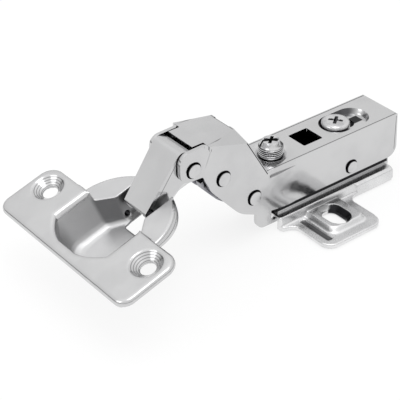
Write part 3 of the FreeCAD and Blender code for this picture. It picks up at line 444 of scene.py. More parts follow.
@dataclass(frozen=True)
class PlatedFinish:
    """Bright plating on steel: two close greys in soft clouds, fine rolling grain and a wavy sheet, with painted
    shade on sheltered faces and along its shade lines.
    """

    name: str
    light: Colour
    cloud: Colour
    # Colour painted on sheltered faces as shade
    sheltered: Colour
    cloud_scale: float
    wave_scale: float
    wave_depth: float
    shelter_reach: float
    gloss_low: float = 0.13
    gloss_high: float = 0.20
    grain_depth: float = 0.0015 * MM
    recess: Recess = Recess.NONE
    painted_shades: tuple[ShadeLine | Shade | RingShades, ...] = ()

    def recess_mask(self, sheet: NodeSheet, place: bpy.types.NodeSocket) -> bpy.types.NodeSocket | None:
        """Where the sheltered faces lie, which are painted in shade, from 0 in the open to 1.

        Args:
            sheet: the material's node sheet.
            place: object coordinates.

        Returns:
            The mask socket, or None for a finish without a recess.
        """
        if self.recess is Recess.NONE:
            return None
        along, sideways, height = sheet.split(place)
        # Painted shade over the covered adapter: behind the hook and above the saddle
        if self.recess is Recess.COVERED:
            behind_hook = sheet.ramp(along, *HOOK_EDGE, 0.0, 1.0)
            above_saddle = sheet.ramp(height, *SADDLE_LINE, 0.0, 1.0)
            return sheet.both(behind_hook, above_saddle)
        facing = sheet.add("ShaderNodeTexCoord").outputs["Normal"]
        # Painted shade on the rivets' side faces, all but those that look along their axis
        if self.recess is Recess.RIM:
            return sheet.ramp(sheet.maths("ABSOLUTE", sheet.dot(facing, OUTWARD)), *RIM_TURN, 1.0, 0.0)
        # Painted shade at the side screw's thread roots
        if self.recess is Recess.THREAD:
            from_axis = sheet.vectors("SUBTRACT", place, (SIDE_SCREW_X, 0.0, 0.0)).outputs["Vector"]
            flat = sheet.vectors("MULTIPLY", from_axis, (1.0, 1.0, 0.0)).outputs["Vector"]
            root = sheet.ramp(sheet.vectors("LENGTH", flat).outputs["Value"], *THREAD_ROOT, 1.0, 0.0)
            begun = sheet.ramp(height, *THREAD_FOOT, 0.0, 1.0)
            going = sheet.ramp(height, *THREAD_HEAD, 1.0, 0.0)
            return sheet.both(root, begun, going)
        # Painted shade on faces that look into the channel or down
        if self.recess is Recess.CHANNEL:
            _, turned, upturned = sheet.split(facing)
            inward = sheet.maths("MULTIPLY", sheet.maths("MULTIPLY", sheet.maths("SIGN", sideways), turned), -1.0)
            down = sheet.maths("MULTIPLY", upturned, -1.0)
            return sheet.ramp(sheet.maths("MAXIMUM", inward, down), *CHANNEL_TURN, 0.0, 1.0)
        # Painted shade on the tub's upright inner walls past the waist
        upright = sheet.ramp(sheet.maths("ABSOLUTE", sheet.dot(facing, INTO_CUP)), *WALL_TURN, 1.0, 0.0)
        from_mouth = sheet.vectors("SUBTRACT", place, CUP_MOUTH).outputs["Vector"]
        past_waist = sheet.ramp(sheet.dot(from_mouth, TOWARD_ARM), *WAIST, BEFORE_WAIST, 1.0)
        far_side = sheet.ramp(sheet.dot(facing, OUTWARD), *FAR_TURN, 1.0, 0.0)
        inside = self.tub_mask(sheet, place, facing, TUB_SHADE_ENTRY)
        return sheet.both(inside, upright, past_waist, far_side)

    def tub_mask(
        self, sheet: NodeSheet, place: bpy.types.NodeSocket, facing: bpy.types.NodeSocket, entry: Band
    ) -> bpy.types.NodeSocket:
        """Where the drawn tub's inner faces lie.

        Args:
            sheet: the material's node sheet.
            place: object coordinates.
            facing: object normal.
            entry: depths below the mouth where the mask begins and where it is full.

        Returns:
            The mask socket, 0 outside and 1 inside.
        """
        from_mouth = sheet.vectors("SUBTRACT", place, CUP_MOUTH).outputs["Vector"]
        entered = sheet.ramp(sheet.dot(from_mouth, INTO_CUP), *entry, 0.0, 1.0)
        straight = sheet.vectors("NORMALIZE", from_mouth).outputs["Vector"]
        inward = sheet.maths("MULTIPLY", sheet.dot(facing, straight), -1.0)
        return sheet.both(entered, sheet.ramp(inward, *INWARD_TURN, 0.0, 1.0))

    def painted_shade_mask(self, sheet: NodeSheet, place: bpy.types.NodeSocket) -> bpy.types.NodeSocket:
        """The finish's painted shade lines, patches and rings together.

        Args:
            sheet: the material's node sheet.
            place: object coordinates.

        Returns:
            The mask socket, 0 off the lines and 1 on them.
        """
        parts = sheet.split(place)
        side = sheet.maths("SIGN", parts[1])
        mirrored = []
        for x, y, z in (parts, sheet.split(sheet.add("ShaderNodeTexCoord").outputs["Normal"])):
            whole = sheet.add("ShaderNodeCombineXYZ")
            sheet.link(x, whole.inputs[0])
            sheet.link(sheet.maths("MULTIPLY", y, side), whole.inputs[1])
            sheet.link(z, whole.inputs[2])
            mirrored.append(whole.outputs[0])
        total = self.painted_shades[0].mask(sheet, *mirrored)
        for painted_mark in self.painted_shades[1:]:
            total = sheet.maths("MAXIMUM", total, painted_mark.mask(sheet, *mirrored))
        return total

    def material(self) -> bpy.types.Material:
        """Builds the finish as a node material.

        Returns:
            The material, made once per name.
        """
        known = bpy.data.materials.get(self.name)
        if known is not None:
            return known
        made = bpy.data.materials.new(self.name)
        made.use_nodes = True
        sheet = NodeSheet(made.node_tree)
        place = sheet.add("ShaderNodeTexCoord").outputs["Object"]
        clouds = sheet.ramp(sheet.noise(place, self.cloud_scale, 3.0), *CLOUD_SPREAD, 0.0, 1.0)
        colour = sheet.blend(clouds, self.light, self.cloud)
        # Painted shade: faces that ambient occlusion finds hemmed in, and the recess faces, take the dark sheltered
        # colour
        shelter = sheet.add("ShaderNodeAmbientOcclusion", samples=6)
        shelter.inputs["Distance"].default_value = self.shelter_reach
        hidden = sheet.ramp(shelter.outputs["AO"], *SHELTER_SPREAD, 1.0, 0.0)
        mask = self.recess_mask(sheet, place)
        if mask is not None:
            hidden = sheet.maths("MAXIMUM", hidden, mask)
        colour = sheet.blend(hidden, colour, self.sheltered)
        # Painted shade: the shade lines, patches and rings take the dark shade colour
        if self.painted_shades:
            colour = sheet.blend(self.painted_shade_mask(sheet, place), colour, PAINTED_SHADE_COLOUR)
        grain = sheet.noise(place, GRAIN_CELLS, 2.0)
        gloss = sheet.ramp(grain, *GRAIN_SPREAD, self.gloss_low, self.gloss_high)
        if self.recess is Recess.CUP:
            facing = sheet.add("ShaderNodeTexCoord").outputs["Normal"]
            tub = self.tub_mask(sheet, place, facing, TUB_DULL_ENTRY)
            gloss = sheet.maths("ADD", gloss, sheet.ramp(tub, 0.0, 1.0, 0.0, TUB_DULLNESS))
        wavy = sheet.bump(sheet.noise(place, self.wave_scale, 2.0), self.wave_depth)
        rough = sheet.bump(grain, self.grain_depth, wavy)
        shader = sheet.add("ShaderNodeBsdfPrincipled")
        shader.inputs["Metallic"].default_value = 1.0
        sheet.link(colour, shader.inputs["Base Color"])
        sheet.link(gloss, shader.inputs["Roughness"])
        sheet.link(rough, shader.inputs["Normal"])
        out = sheet.add("ShaderNodeOutputMaterial")
        sheet.link(shader.outputs[0], out.inputs["Surface"])
        return made


# Painted shade lines of the arm: top edge, neck slope, ear jog, hood crease, hood fold and rear edge, and the
# keyhole, a dark patch of painted shade on the tray floor
ARM_SHADE_LINES = (
    ShadeLine(OUTWARD, 7.35 * MM, 0.24 * MM, LENGTHWISE, -20.9 * MM, 33.2 * MM, UPWARD),
    ShadeLine((0.8622, 0.0, 0.5066), -6.92 * MM, 0.28 * MM, (0.5066, 0.0, -0.8622), -50.0 * MM, -29.8 * MM, OUTWARD),
    ShadeLine(
        (0.978, 0.0, -0.208), -49.46 * MM, 0.2 * MM, (0.208, 0.0, 0.978), 22.0 * MM, 29.6 * MM, OUTWARD,
        fade=3.0 * MM, depth=0.7,
    ),
    ShadeLine(
        (0.068, 0.9977, 0.0), 4.51 * MM, 0.5 * MM, LENGTHWISE, -44.0 * MM, -33.6 * MM, UPWARD,
        fade=8.0 * MM, depth=0.8,
    ),
    ShadeLine(LENGTHWISE, -31.7 * MM, 0.22 * MM, OUTWARD, -0.3 * MM, 8.3 * MM, UPWARD, fade=0.1 * MM, depth=0.8),
    ShadeLine(LENGTHWISE, 32.9 * MM, 0.2 * MM, UPWARD, 9.4 * MM, 22.0 * MM, OUTWARD, fade=0.5 * MM, depth=0.8),
    ShadeLine(OUTWARD, 0.0, 3.4 * MM, LENGTHWISE, 17.5 * MM, 24.4 * MM, UPWARD, softness=0.06),
)
# Painted shade rings down the dish around the side screw
DISH_RING_SHADES = (RingShades((SIDE_SCREW_X, 0.0, ARM_TOP), UPWARD, 4.2 * MM, 7.0 * MM, 1.1 * MM, 0.6),)
# Painted shade line on the sides of the outer link
LINK_SHADE_LINES = (
    ShadeLine(
        (0.8284, 0.0, -0.5601), -64.28 * MM, 0.2 * MM, (0.5601, 0.0, 0.8284), -13.5 * MM, 2.0 * MM, OUTWARD,
        fade=0.5 * MM, depth=0.75,
    ),
)
# Slot's wall, groove, island's front wall, saddle's wall and the hollow beside it
PLATE_SHADES = (
    Shade((0.9 * MM, 11.0 * MM, 0.3 * MM), (5.6 * MM, 21.2 * MM, 3.3 * MM), FORWARD, 0.35),
    Shade((-10.0 * MM, 10.4 * MM, 0.4 * MM), (-7.0 * MM, 24.1 * MM, 1.35 * MM), UPWARD, 0.6, 0.85),
    Shade(
        (-8.0 * MM, 10.4 * MM, 0.6 * MM), (-5.6 * MM, 23.0 * MM, 2.9 * MM), FORWARD, 0.4, 0.5,
        soft=(0.3 * MM, 2.5 * MM, 0.9 * MM),
    ),
    Shade(
        (-9.5 * MM, 8.8 * MM, 1.2 * MM), (11.5 * MM, 10.6 * MM, 4.2 * MM), OUTWARD, 0.4, 0.85,
        soft=(6.0 * MM, 0.2 * MM, 1.2 * MM),
    ),
    Shade(
        (-5.5 * MM, 9.0 * MM, 1.2 * MM), (8.5 * MM, 12.4 * MM, 3.2 * MM), UPWARD, 0.6, 0.7,
        soft=(3.0 * MM, 1.6 * MM, 0.2 * MM),
    ),
)
# Painted shade rings down the cup's countersink
SINK_RING_SHADES = (RingShades(SINK_CENTRE, OUT_OF_CUP, 2.4 * MM, 4.9 * MM, 0.62 * MM, 0.5),)

PRESSED_SHEET = PlatedFinish(
    name="pressed_bright_sheet",
    light=(0.72, 0.72, 0.724),
    cloud=(0.66, 0.66, 0.665),
    sheltered=(0.30, 0.30, 0.31),
    cloud_scale=70.0,
    wave_scale=85.0,
    wave_depth=0.22 * MM,
    shelter_reach=2.0 * MM,
)
ARM_SHEET = PlatedFinish(
    name="arm_bright_sheet",
    light=(0.62, 0.62, 0.624),
    cloud=(0.575, 0.575, 0.58),
    sheltered=(0.10, 0.10, 0.105),
    cloud_scale=60.0,
    wave_scale=80.0,
    wave_depth=0.34 * MM,
    shelter_reach=2.0 * MM,
    recess=Recess.CHANNEL,
    painted_shades=ARM_SHADE_LINES + DISH_RING_SHADES,
)
LINK_SHEET = PlatedFinish(
    name="link_bright_sheet",
    light=(0.62, 0.62, 0.624),
    cloud=(0.585, 0.585, 0.59),
    sheltered=(0.36, 0.36, 0.365),
    cloud_scale=70.0,
    wave_scale=90.0,
    wave_depth=0.2 * MM,
    shelter_reach=0.4 * MM,
    recess=Recess.CHANNEL,
    painted_shades=LINK_SHADE_LINES,
)
PLATE_SHEET = PlatedFinish(
    name="plate_bright_sheet",
    light=(0.8, 0.8, 0.805),
    cloud=(0.7, 0.7, 0.705),
    sheltered=(0.16, 0.16, 0.165),
    gloss_low=0.26,
    gloss_high=0.34,
    cloud_scale=90.0,
    wave_scale=120.0,
    wave_depth=0.2 * MM,
    shelter_reach=1.2 * MM,
    painted_shades=PLATE_SHADES,
)
CUP_SHEET = PlatedFinish(
    name="deep_drawn_bright_sheet",
    light=(0.62, 0.62, 0.624),
    cloud=(0.585, 0.585, 0.59),
    sheltered=(0.26, 0.26, 0.265),
    cloud_scale=80.0,
    wave_scale=120.0,
    wave_depth=0.20 * MM,
    shelter_reach=1.6 * MM,
    recess=Recess.CUP,
    painted_shades=SINK_RING_SHADES,
)
# Painted shade: near-black over the adapter wherever it lies behind the hook and above the saddle
COVERED_SHEET = PlatedFinish(
    name="covered_painted_shade_sheet",
    light=(0.62, 0.62, 0.624),
    cloud=(0.575, 0.575, 0.58),
    sheltered=(0.02, 0.02, 0.022),
    gloss_low=0.16,
    gloss_high=0.24,
    cloud_scale=60.0,
    wave_scale=80.0,
    wave_depth=0.2 * MM,
    shelter_reach=0.15 * MM,
    recess=Recess.COVERED,
)
TURNED_SCREW = PlatedFinish(
    name="bright_turned_screw",
    light=(0.66, 0.66, 0.665),
    cloud=(0.52, 0.52, 0.53),
    sheltered=(0.10, 0.10, 0.105),
    gloss_low=0.14,
    gloss_high=0.24,
    cloud_scale=400.0,
    grain_depth=0.001 * MM,
    wave_scale=500.0,
    wave_depth=0.06 * MM,
    shelter_reach=1.6 * MM,
)
# The thread roots take the dark sheltered tone as painted shade
SIDE_POST = PlatedFinish(
    name="bright_threaded_post",
    light=(0.70, 0.70, 0.705),
    cloud=(0.56, 0.56, 0.57),
    sheltered=(0.05, 0.05, 0.052),
    gloss_low=0.14,
    gloss_high=0.24,
    cloud_scale=400.0,
    grain_depth=0.001 * MM,
    wave_scale=500.0,
    wave_depth=0.06 * MM,
    shelter_reach=1.4 * MM,
    recess=Recess.THREAD,
)
# The rivets' side faces take the dark sheltered tone as painted shade
RIVET_STEEL = PlatedFinish(
    name="bright_rivet_steel",
    light=(0.62, 0.62, 0.624),
    cloud=(0.575, 0.575, 0.58),
    sheltered=(0.06, 0.06, 0.063),
    cloud_scale=300.0,
    wave_scale=300.0,
    wave_depth=0.05 * MM,
    shelter_reach=0.3 * MM,
    recess=Recess.RIM,
)
# Near-black paint on the wall bosses, painted shade inside the wall holes
HOLE_SHADE_STEEL = PlatedFinish(
    name="hole_painted_shade_steel",
    light=(0.035, 0.035, 0.038),
    cloud=(0.02, 0.02, 0.022),
    sheltered=(0.06, 0.06, 0.063),
    cloud_scale=300.0,
    wave_scale=300.0,
    wave_depth=0.05 * MM,
    shelter_reach=0.3 * MM,
)
SPRING_STEEL = PlatedFinish(
    name="blued_spring_steel",
    light=(0.34, 0.34, 0.36),
    cloud=(0.24, 0.24, 0.27),
    sheltered=(0.08, 0.08, 0.09),
    gloss_low=0.28,
    gloss_high=0.40,
    cloud_scale=200.0,
    wave_scale=300.0,
    wave_depth=0.04 * MM,
    shelter_reach=1.0 * MM,
)


def surface(name: str, points: np.ndarray, quads: np.ndarray, caps: list[list[int]]) -> bpy.types.Object:
    """Puts a computed surface into a mesh object at the origin.

    Args:
        name: the piece's name.
        points: vertex places, n by 3, in metres.
        quads: four vertex numbers a face, m by 4.
        caps: further faces as vertex numbers.

    Returns:
        The linked object, shaded smooth.
    """
    mesh = bpy.data.meshes.new(name)
    mesh.from_pydata(points.tolist(), [], quads.tolist() + caps)
    mesh.polygons.foreach_set("use_smooth", np.ones(len(mesh.polygons), bool))
    mesh.update()
    piece = bpy.data.objects.new(name, mesh)
    bpy.context.scene.collection.objects.link(piece)
    return piece


def ring_quads(rings: int, around: int) -> np.ndarray:
    """Faces between closed rings of points that follow one another along a path.

    Args:
        rings: number of rings.
        around: points in a ring.

    Returns:
        Vertex numbers, four a face, turned to face outward for rings that run anticlockwise seen
        from the far end of the path.
    """
    ring = np.arange(rings - 1)[:, None] * around
    here = np.arange(around)[None, :]
    after = (here + 1) % around
    corners = np.stack([ring + here, ring + after, ring + around + after, ring + around + here], axis=-1)
    return corners.reshape(-1, 4)


def end_caps(rings: int, around: int) -> list[list[int]]:
    """Faces that close the first and the last ring.

    Args:
        rings: number of rings.
        around: points in a ring.

    Returns:
        Two lists of vertex numbers, both turned to face outward.
    """
    last = (rings - 1) * around
    return [list(range(around))[::-1], list(range(last, last + around))]


def turned_across(name: str, section: np.ndarray, x: float, z: float, side: float, around: int) -> bpy.types.Object:
    """Turns a section of radius against distance about an axis that runs across the hinge.

    Formula: point = (x + r cos t, side * h, z - side * r sin t).

    Args:
        name: the piece's name.
        section: (r, h) pairs from one end of the axis to the other, n by 2.
        x: place of the axis along the row.
        z: height of the axis.
        side: -1 for the near side, 1 for the far side.
        around: points in a ring.

    Returns:
        The closed piece, still without a finish.
    """
    turn = np.linspace(0.0, 2.0 * math.pi, around, endpoint=False)
    radius, distance = section[:, :1], section[:, 1:]
    across = np.broadcast_to(side * distance, (len(section), around))
    points = np.stack([x + radius * np.cos(turn), across, z - side * (radius * np.sin(turn))], axis=-1)
    rings = len(section)
    return surface(name, points.reshape(-1, 3), ring_quads(rings, around), end_caps(rings, around))


def tube_along(path: np.ndarray, axis: np.ndarray, section: np.ndarray, swell: np.ndarray) -> np.ndarray:
    """Carries a closed section along a path.

    Formula: point = path + swell * (section_a * side + section_b * lift), where side is the unit
    cross product of the axis and the path's direction, and lift is the cross product of the
    direction and side.

    Args:
        path: places along the middle, n by 3.
        axis: a direction that is never along the path.
        section: the closed profile as (a, b) pairs, m by 2.
        swell: scale of the section at each place, n.

    Returns:
        Points, n times m by 3.
    """
    ahead = np.gradient(path, axis=0)
    ahead /= np.linalg.norm(ahead, axis=1, keepdims=True)
    side = np.cross(axis, ahead)
    side /= np.linalg.norm(side, axis=1, keepdims=True)
    lift = np.cross(ahead, side)
    spread = section[None, :, 0:1] * side[:, None, :] + section[None, :, 1:2] * lift[:, None, :]
    return (path[:, None, :] + swell[:, None, None] * spread).reshape(-1, 3)


def join_facets(node: bpy.types.Object) -> None:
    """Welds a CAD node's loose triangles with a modifier.

    Args:
        node: the CAD node, whose own mesh stays as it is.
    """
    weld = node.modifiers.new("join_facets", "WELD")
    weld.merge_threshold = FACET_REACH


@dataclass(frozen=True)
class Softening:
    """How a pressing's sharp CAD edges are eased for the eye."""

    width: float
    segments: int = 2
    angle: float = math.radians(32.0)
    face_weight: int = 50

    def apply(self, node: bpy.types.Object) -> None:
        """Welds the node's loose triangles, bevels the edges and evens the shading normals.

        Args:
            node: the CAD node, whose own mesh stays as it is.
        """
        join_facets(node)
        bevel = node.modifiers.new("eased_edges", "BEVEL")
        bevel.width = self.width
        bevel.segments = self.segments
        bevel.limit_method = "ANGLE"
        bevel.angle_limit = self.angle
        bevel.use_clamp_overlap = True
        bevel.harden_normals = False
        even = node.modifiers.new("even_shading", "WEIGHTED_NORMAL")
        even.keep_sharp = False
        even.weight = self.face_weight


@dataclass(frozen=True)
class DeepDrawing:
    """Edges rolled as a press rolls them, every step of the sheet flowing into the next."""

    voxel: float
    rounds: int
    pull: float = 0.5

    def apply(self, node: bpy.types.Object) -> None:
        """Turns the node's shape into an even net and smooths it.

        Args:
            node: the CAD node, whose own mesh stays as it is.
        """
        join_facets(node)
        net = node.modifiers.new("even_net", "REMESH")
        net.mode = "VOXEL"
        net.voxel_size = self.voxel
        net.use_smooth_shade = True
        flow = node.modifiers.new("rolled_edges", "SMOOTH")
        flow.factor = self.pull
        flow.iterations = self.rounds


def dress(node: bpy.types.Object, finish: PlatedFinish, softening: Softening | DeepDrawing) -> None:
    """Gives a CAD node its finish and eased edges, and reports it.

    Args:
        node: the CAD node.
        finish: its plating.
        softening: its edge easing.
    """
    material = finish.material()
    if not node.data.materials:
        node.data.materials.append(material)
    for i in range(len(node.data.materials)):
        node.data.materials[i] = material
    softening.apply(node)
    LOG.info("dressed %s with %s", node.name, finish.name)


@dataclass
class MountingGroup:
    """Mounting plate, clip-on adapter and its catch."""

    nodes: dict[str, bpy.types.Object]
    coil_radius: float = 1.95 * MM
    wire_radius: float = 0.35 * MM
    turns: float = 2.75
    coil_pitch: float = 0.8 * MM
    leg_up: float = 7.2 * MM
    leg_back: float = 6.6 * MM
    catch_x: float = 25.0 * MM
    catch_z: float = 10.6 * MM
    coil_steps: int = 96
    leg_steps: int = 12
    wire_sides: int = 12

    def dress_nodes(self) -> None:
        """Dresses the group's CAD nodes."""
        dress(self.nodes["mounting_plate"], PLATE_SHEET, DeepDrawing(0.3 * MM, 6))
        dress(self.nodes["clip_adapter"], COVERED_SHEET, Softening(0.3 * MM))
        dress(self.nodes["release_catch"], ARM_SHEET, Softening(0.25 * MM))
        dress(self.nodes["catch_pin"], RIVET_STEEL, Softening(0.12 * MM))

    def wire_path(self) -> np.ndarray:
        """Middle line of the catch spring.

        Formula: a helix, x = r cos t, z = -r sin t and y rising by one pitch a turn, with a
        straight leg along its tangent at each end.

        Returns:
            Places along the wire, n by 3, in the row frame.
        """
        height = self.coil_pitch * self.turns
        turn = np.linspace(0.0, 2.0 * math.pi * self.turns, self.coil_steps)
        rise = turn / (2.0 * math.pi) * self.coil_pitch
        coil = np.stack([self.coil_radius * np.cos(turn), rise, -self.coil_radius * np.sin(turn)], axis=1)
        share = np.linspace(0.0, 1.0, self.leg_steps)[:-1, None]
        start = np.array([[self.coil_radius, 0.0, self.leg_up]])
        first_leg = start + share * (coil[:1] - start)
        end = np.array([[self.leg_back, height, self.coil_radius]])
        last_leg = end + share[::-1] * (coil[-1:] - end)
        path = np.concatenate([first_leg, coil, last_leg])
        return path + np.array([self.catch_x, -height / 2.0, self.catch_z])

    def build_spring(self) -> None:
        """Builds the catch spring as one smooth round wire."""
        path = self.wire_path()
        sides = self.wire_sides
        turn = np.linspace(0.0, 2.0 * math.pi, sides, endpoint=False)
        section = self.wire_radius * np.stack([np.cos(turn), np.sin(turn)], axis=1)
        points = tube_along(path, np.array(OUTWARD), section, np.ones(len(path)))
        spring = surface("catch_spring_wire", points, ring_quads(len(path), sides), end_caps(len(path), sides))
        spring.data.materials.append(SPRING_STEEL.material())
        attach(spring, "catch")
        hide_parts("catch_spring")
        LOG.info("built %s", spring.name)


@dataclass
class ScrewGroup:
    """The two screws on top of the arm, with their cut threads."""

    nodes: dict[str, bpy.types.Object]
    side_x: float = SIDE_SCREW_X
    side_crest: float = 3.98 * MM
    side_low: float = 22.5 * MM
    side_high: float = 25.2 * MM
    side_pitch: float = 0.64 * MM
    clamp_x: float = 14.0 * MM
    clamp_crest: float = 2.45 * MM
    clamp_low: float = 13.7 * MM
    clamp_high: float = 17.6 * MM
    clamp_pitch: float = 0.8 * MM
    thread_depth: float = 0.32 * MM
    steps_a_turn: int = 48
    root_half: float = 0.42
    crest_half: float = 0.10
    bedded: float = 0.1
    run_out_end: float = 0.02

    def dress_nodes(self) -> None:
        """Dresses the group's CAD nodes."""
        dress(self.nodes["side_screw"], SIDE_POST, Softening(0.1 * MM))
        dress(self.nodes["clamping_screw"], TURNED_SCREW, Softening(0.16 * MM))

    def thread(self, name: str, x: float, crest: float, low: float, high: float, pitch: float) -> bpy.types.Object:
        """Builds one screw thread as a closed helical ridge.

        Formula: the middle line is x = x0 + r cos t, y = r sin t, z rising by one pitch a turn;
        the section is a triangle with a blunt crest, which shrinks to nothing over the first and
        last half turn.

        Args:
            name: the piece's name.
            x: place of the screw's axis.
            crest: radius over the crests.
            low: height where the thread starts.
            high: height where it ends.
            pitch: rise a turn.

        Returns:
            The ridge as a piece, still without a finish.
        """
        turns = (high - low) / pitch
        turn = np.linspace(0.0, 2.0 * math.pi * turns, int(self.steps_a_turn * turns))
        root = crest - self.thread_depth
        rise = low + turn / (2.0 * math.pi) * pitch
        path = np.stack([x + root * np.cos(turn), root * np.sin(turn), rise], axis=1)
        half, tip = self.root_half * pitch, self.crest_half * pitch
        out = -self.thread_depth
        bed = -self.bedded * out
        section = np.array([(bed, -half), (bed, half), (out, tip), (out, -tip)])
        run = np.minimum(turn, turn[-1] - turn) / math.pi
        swell = np.clip(run, self.run_out_end, 1.0)
        points = tube_along(path, np.array(UPWARD), section, swell)
        rings, around = len(path), len(section)
        ridge = surface(name, points, ring_quads(rings, around), end_caps(rings, around))
        ridge.data.polygons.foreach_set("use_smooth", np.zeros(len(ridge.data.polygons), bool))
        LOG.info("built %s", name)
        return ridge

    def build_threads(self) -> None:
        """Builds the threads of both screws."""
        post = self.thread(
            "side_screw_thread", self.side_x, self.side_crest, self.side_low, self.side_high, self.side_pitch
        )
        post.data.materials.append(SIDE_POST.material())
        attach(post, "side_adjuster")
        shank = self.thread(
            "clamping_screw_thread", self.clamp_x, self.clamp_crest, self.clamp_low, self.clamp_high, self.clamp_pitch
        )
        shank.data.materials.append(TURNED_SCREW.material())
        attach(shank, "clamp")


@dataclass
class ArmGroup:
    """Cranked arm with its rivets and closing spring."""

    nodes: dict[str, bpy.types.Object]
    head_rise: float = 0.45 * MM
    head_sink: float = 0.3 * MM
    head_round: float = 0.16 * MM
    crown: tuple[Band, ...] = ((0.6, 0.03 * MM), (0.25, 0.04 * MM))
    around: int = 64
    rivets: tuple[str, ...] = ("knuckle_rivet", "link_rivet", "spring_rivet", "guide_rivet")

    def dress_nodes(self) -> None:
        """Dresses the group's CAD nodes."""
        dress(self.nodes["cranked_arm"], ARM_SHEET, Softening(0.4 * MM, 3))
        dress(self.nodes["closing_spring"], SPRING_STEEL, Softening(0.15 * MM))
        for name in self.rivets:
            dress(self.nodes[name], RIVET_STEEL, Softening(0.12 * MM))

    def build_heads(self) -> None:
        """Builds the proud upset head at both ends of each rivet.

        Formula: a straight shank, a quarter-round edge and a shallow domed crown, as radius
        against distance from the middle plane, are turned about the rivet's axis.
        """
        share = np.linspace(0.0, math.pi / 2.0, 4)
        for name in self.rivets:
            low, high = (np.array(corner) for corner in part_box(name))
            radius = (high[0] - low[0]) / 2.0
            middle = (low + high) / 2.0
            top = high[1] + self.head_rise
            inset = self.head_round * (1.0 - np.cos(share))
            drop = self.head_round * (1.0 - np.sin(share))
            edge = np.stack([radius - inset, top - drop], axis=1)
            crown = np.array([[part * radius, top + rise] for part, rise in self.crown])
            section = np.concatenate([[[radius, high[1] - self.head_sink]], edge, crown])
            for side, label in ((-1.0, "near"), (1.0, "far")):
                head = turned_across(f"{name}_head_{label}", section, middle[0], middle[2], side, self.around)
                head.data.materials.append(RIVET_STEEL.material())
                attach(head, "arm")
                LOG.info("built %s", head.name)


@dataclass
class CupGroup:
    """Hinge cup, its two links and their pins."""

    nodes: dict[str, bpy.types.Object]
    skirt_inner: float = 16.9 * MM
    skirt_outer: float = 17.56 * MM
    skirt_top: float = 4.1 * MM
    skirt_deep: float = 8.0 * MM
    skirt_rise: float = 2.3 * MM
    skirt_from: float = math.radians(26.0)
    skirt_to: float = math.radians(85.0)
    skirt_steps: int = 72
    skirt_sweep: float = 1.5
    foot_steps: int = 9
    boss_along: float = 6.7 * MM
    boss_depth: float = 10.4 * MM
    boss_bore: float = 0.95 * MM
    boss_radius: float = 1.4 * MM
    boss_foot: float = 6.3 * MM
    boss_end: float = 8.4 * MM
    boss_floor: float = 8.0 * MM
    boss_point: float = 0.03 * MM
    boss_around: int = 40

    def dress_nodes(self) -> None:
        """Dresses the group's CAD nodes."""
        dress(self.nodes["hinge_cup"], CUP_SHEET, DeepDrawing(0.27 * MM, 3))
        dress(self.nodes["outer_link"], LINK_SHEET, Softening(0.4 * MM, 3))
        dress(self.nodes["inner_link"], PRESSED_SHEET, Softening(0.25 * MM))
        dress(self.nodes["inner_link_pin"], RIVET_STEEL, Softening(0.12 * MM))
        dress(self.nodes["outer_link_pins"], RIVET_STEEL, Softening(0.12 * MM))

    def in_row(self, along: np.ndarray | float, depth: np.ndarray | float) -> tuple[np.ndarray, np.ndarray]:
        """Takes places in the mouth's leaning frame to the row's upright frame.

        Formula: a turn by the lean about the hinge axis, then a move to the mouth.

        Args:
            along: distance from the cup's axis toward the arm.
            depth: distance below the mouth.

        Returns:
            The x and z coordinates.
        """
        x = CUP_MOUTH[0] + along * math.cos(CUP_LEAN) + depth * math.sin(CUP_LEAN)
        z = CUP_MOUTH[2] + along * math.sin(CUP_LEAN) - depth * math.cos(CUP_LEAN)
        return x, z

    def build_bosses(self) -> None:
        """Builds the small blind boss behind the hole in each wall of the tub, near-black as painted shade in the
        hole.

        Formula: a cup-shaped section of radius against distance from the middle plane is turned
        about the boss's axis.
        """
        x, z = self.in_row(self.boss_along, self.boss_depth)
        section = np.array(
            [
                (self.boss_point, self.boss_floor),
                (self.boss_bore, self.boss_floor),
                (self.boss_bore, self.boss_foot),
                (self.boss_radius, self.boss_foot),
                (self.boss_radius, self.boss_end),
                (self.boss_point, self.boss_end),
            ]
        )
        for side, label in ((-1.0, "near"), (1.0, "far")):
            boss = turned_across(f"wall_boss_{label}", section, x, z, side, self.boss_around)
            boss.data.materials.append(HOLE_SHADE_STEEL.material())
            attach(boss, "cup")
            LOG.info("built %s", boss.name)

    def build_skirts(self) -> None:
        """Builds the even band of drawn wall under the rim on each side of the link channel.

        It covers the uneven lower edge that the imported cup's outer wall has there.

        Formula: at a turn t about the cup's axis the section is a strip between two radii with a
        round foot, and the foot rises with t to the power one and a half. A section point (r, d)
        lies at (r cos t, r sin t, -d) in the mouth's frame, which leans with the cup.
        """
        turns = np.linspace(self.skirt_from, self.skirt_to, self.skirt_steps)
        share = (turns - self.skirt_from) / (self.skirt_to - self.skirt_from)
        low = self.skirt_deep - self.skirt_rise * share**self.skirt_sweep
        half = 0.5 * (self.skirt_outer - self.skirt_inner)
        middle = 0.5 * (self.skirt_outer + self.skirt_inner)
        bend = np.linspace(0.0, math.pi, self.foot_steps)
        radius = np.concatenate([[self.skirt_inner, self.skirt_outer], middle + half * np.cos(bend)])
        top = np.full((self.skirt_steps, 2), self.skirt_top)
        depth = np.concatenate([top, (low - half)[:, None] + half * np.sin(bend)[None, :]], axis=1)
        along, across = np.cos(turns)[:, None] * radius, np.sin(turns)[:, None] * radius
        x, z = self.in_row(along, depth)
        around = len(radius)
        quads, caps = ring_quads(self.skirt_steps, around), end_caps(self.skirt_steps, around)
        for side, label in ((-1.0, "near"), (1.0, "far")):
            points = np.stack([x, side * across, z], axis=-1)
            points = points if side > 0 else points[:, ::-1]
            skirt = surface(f"cup_skirt_{label}", points.reshape(-1, 3), quads, caps)
            skirt.data.materials.append(CUP_SHEET.material())
            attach(skirt, "cup")
            LOG.info("built %s", skirt.name)


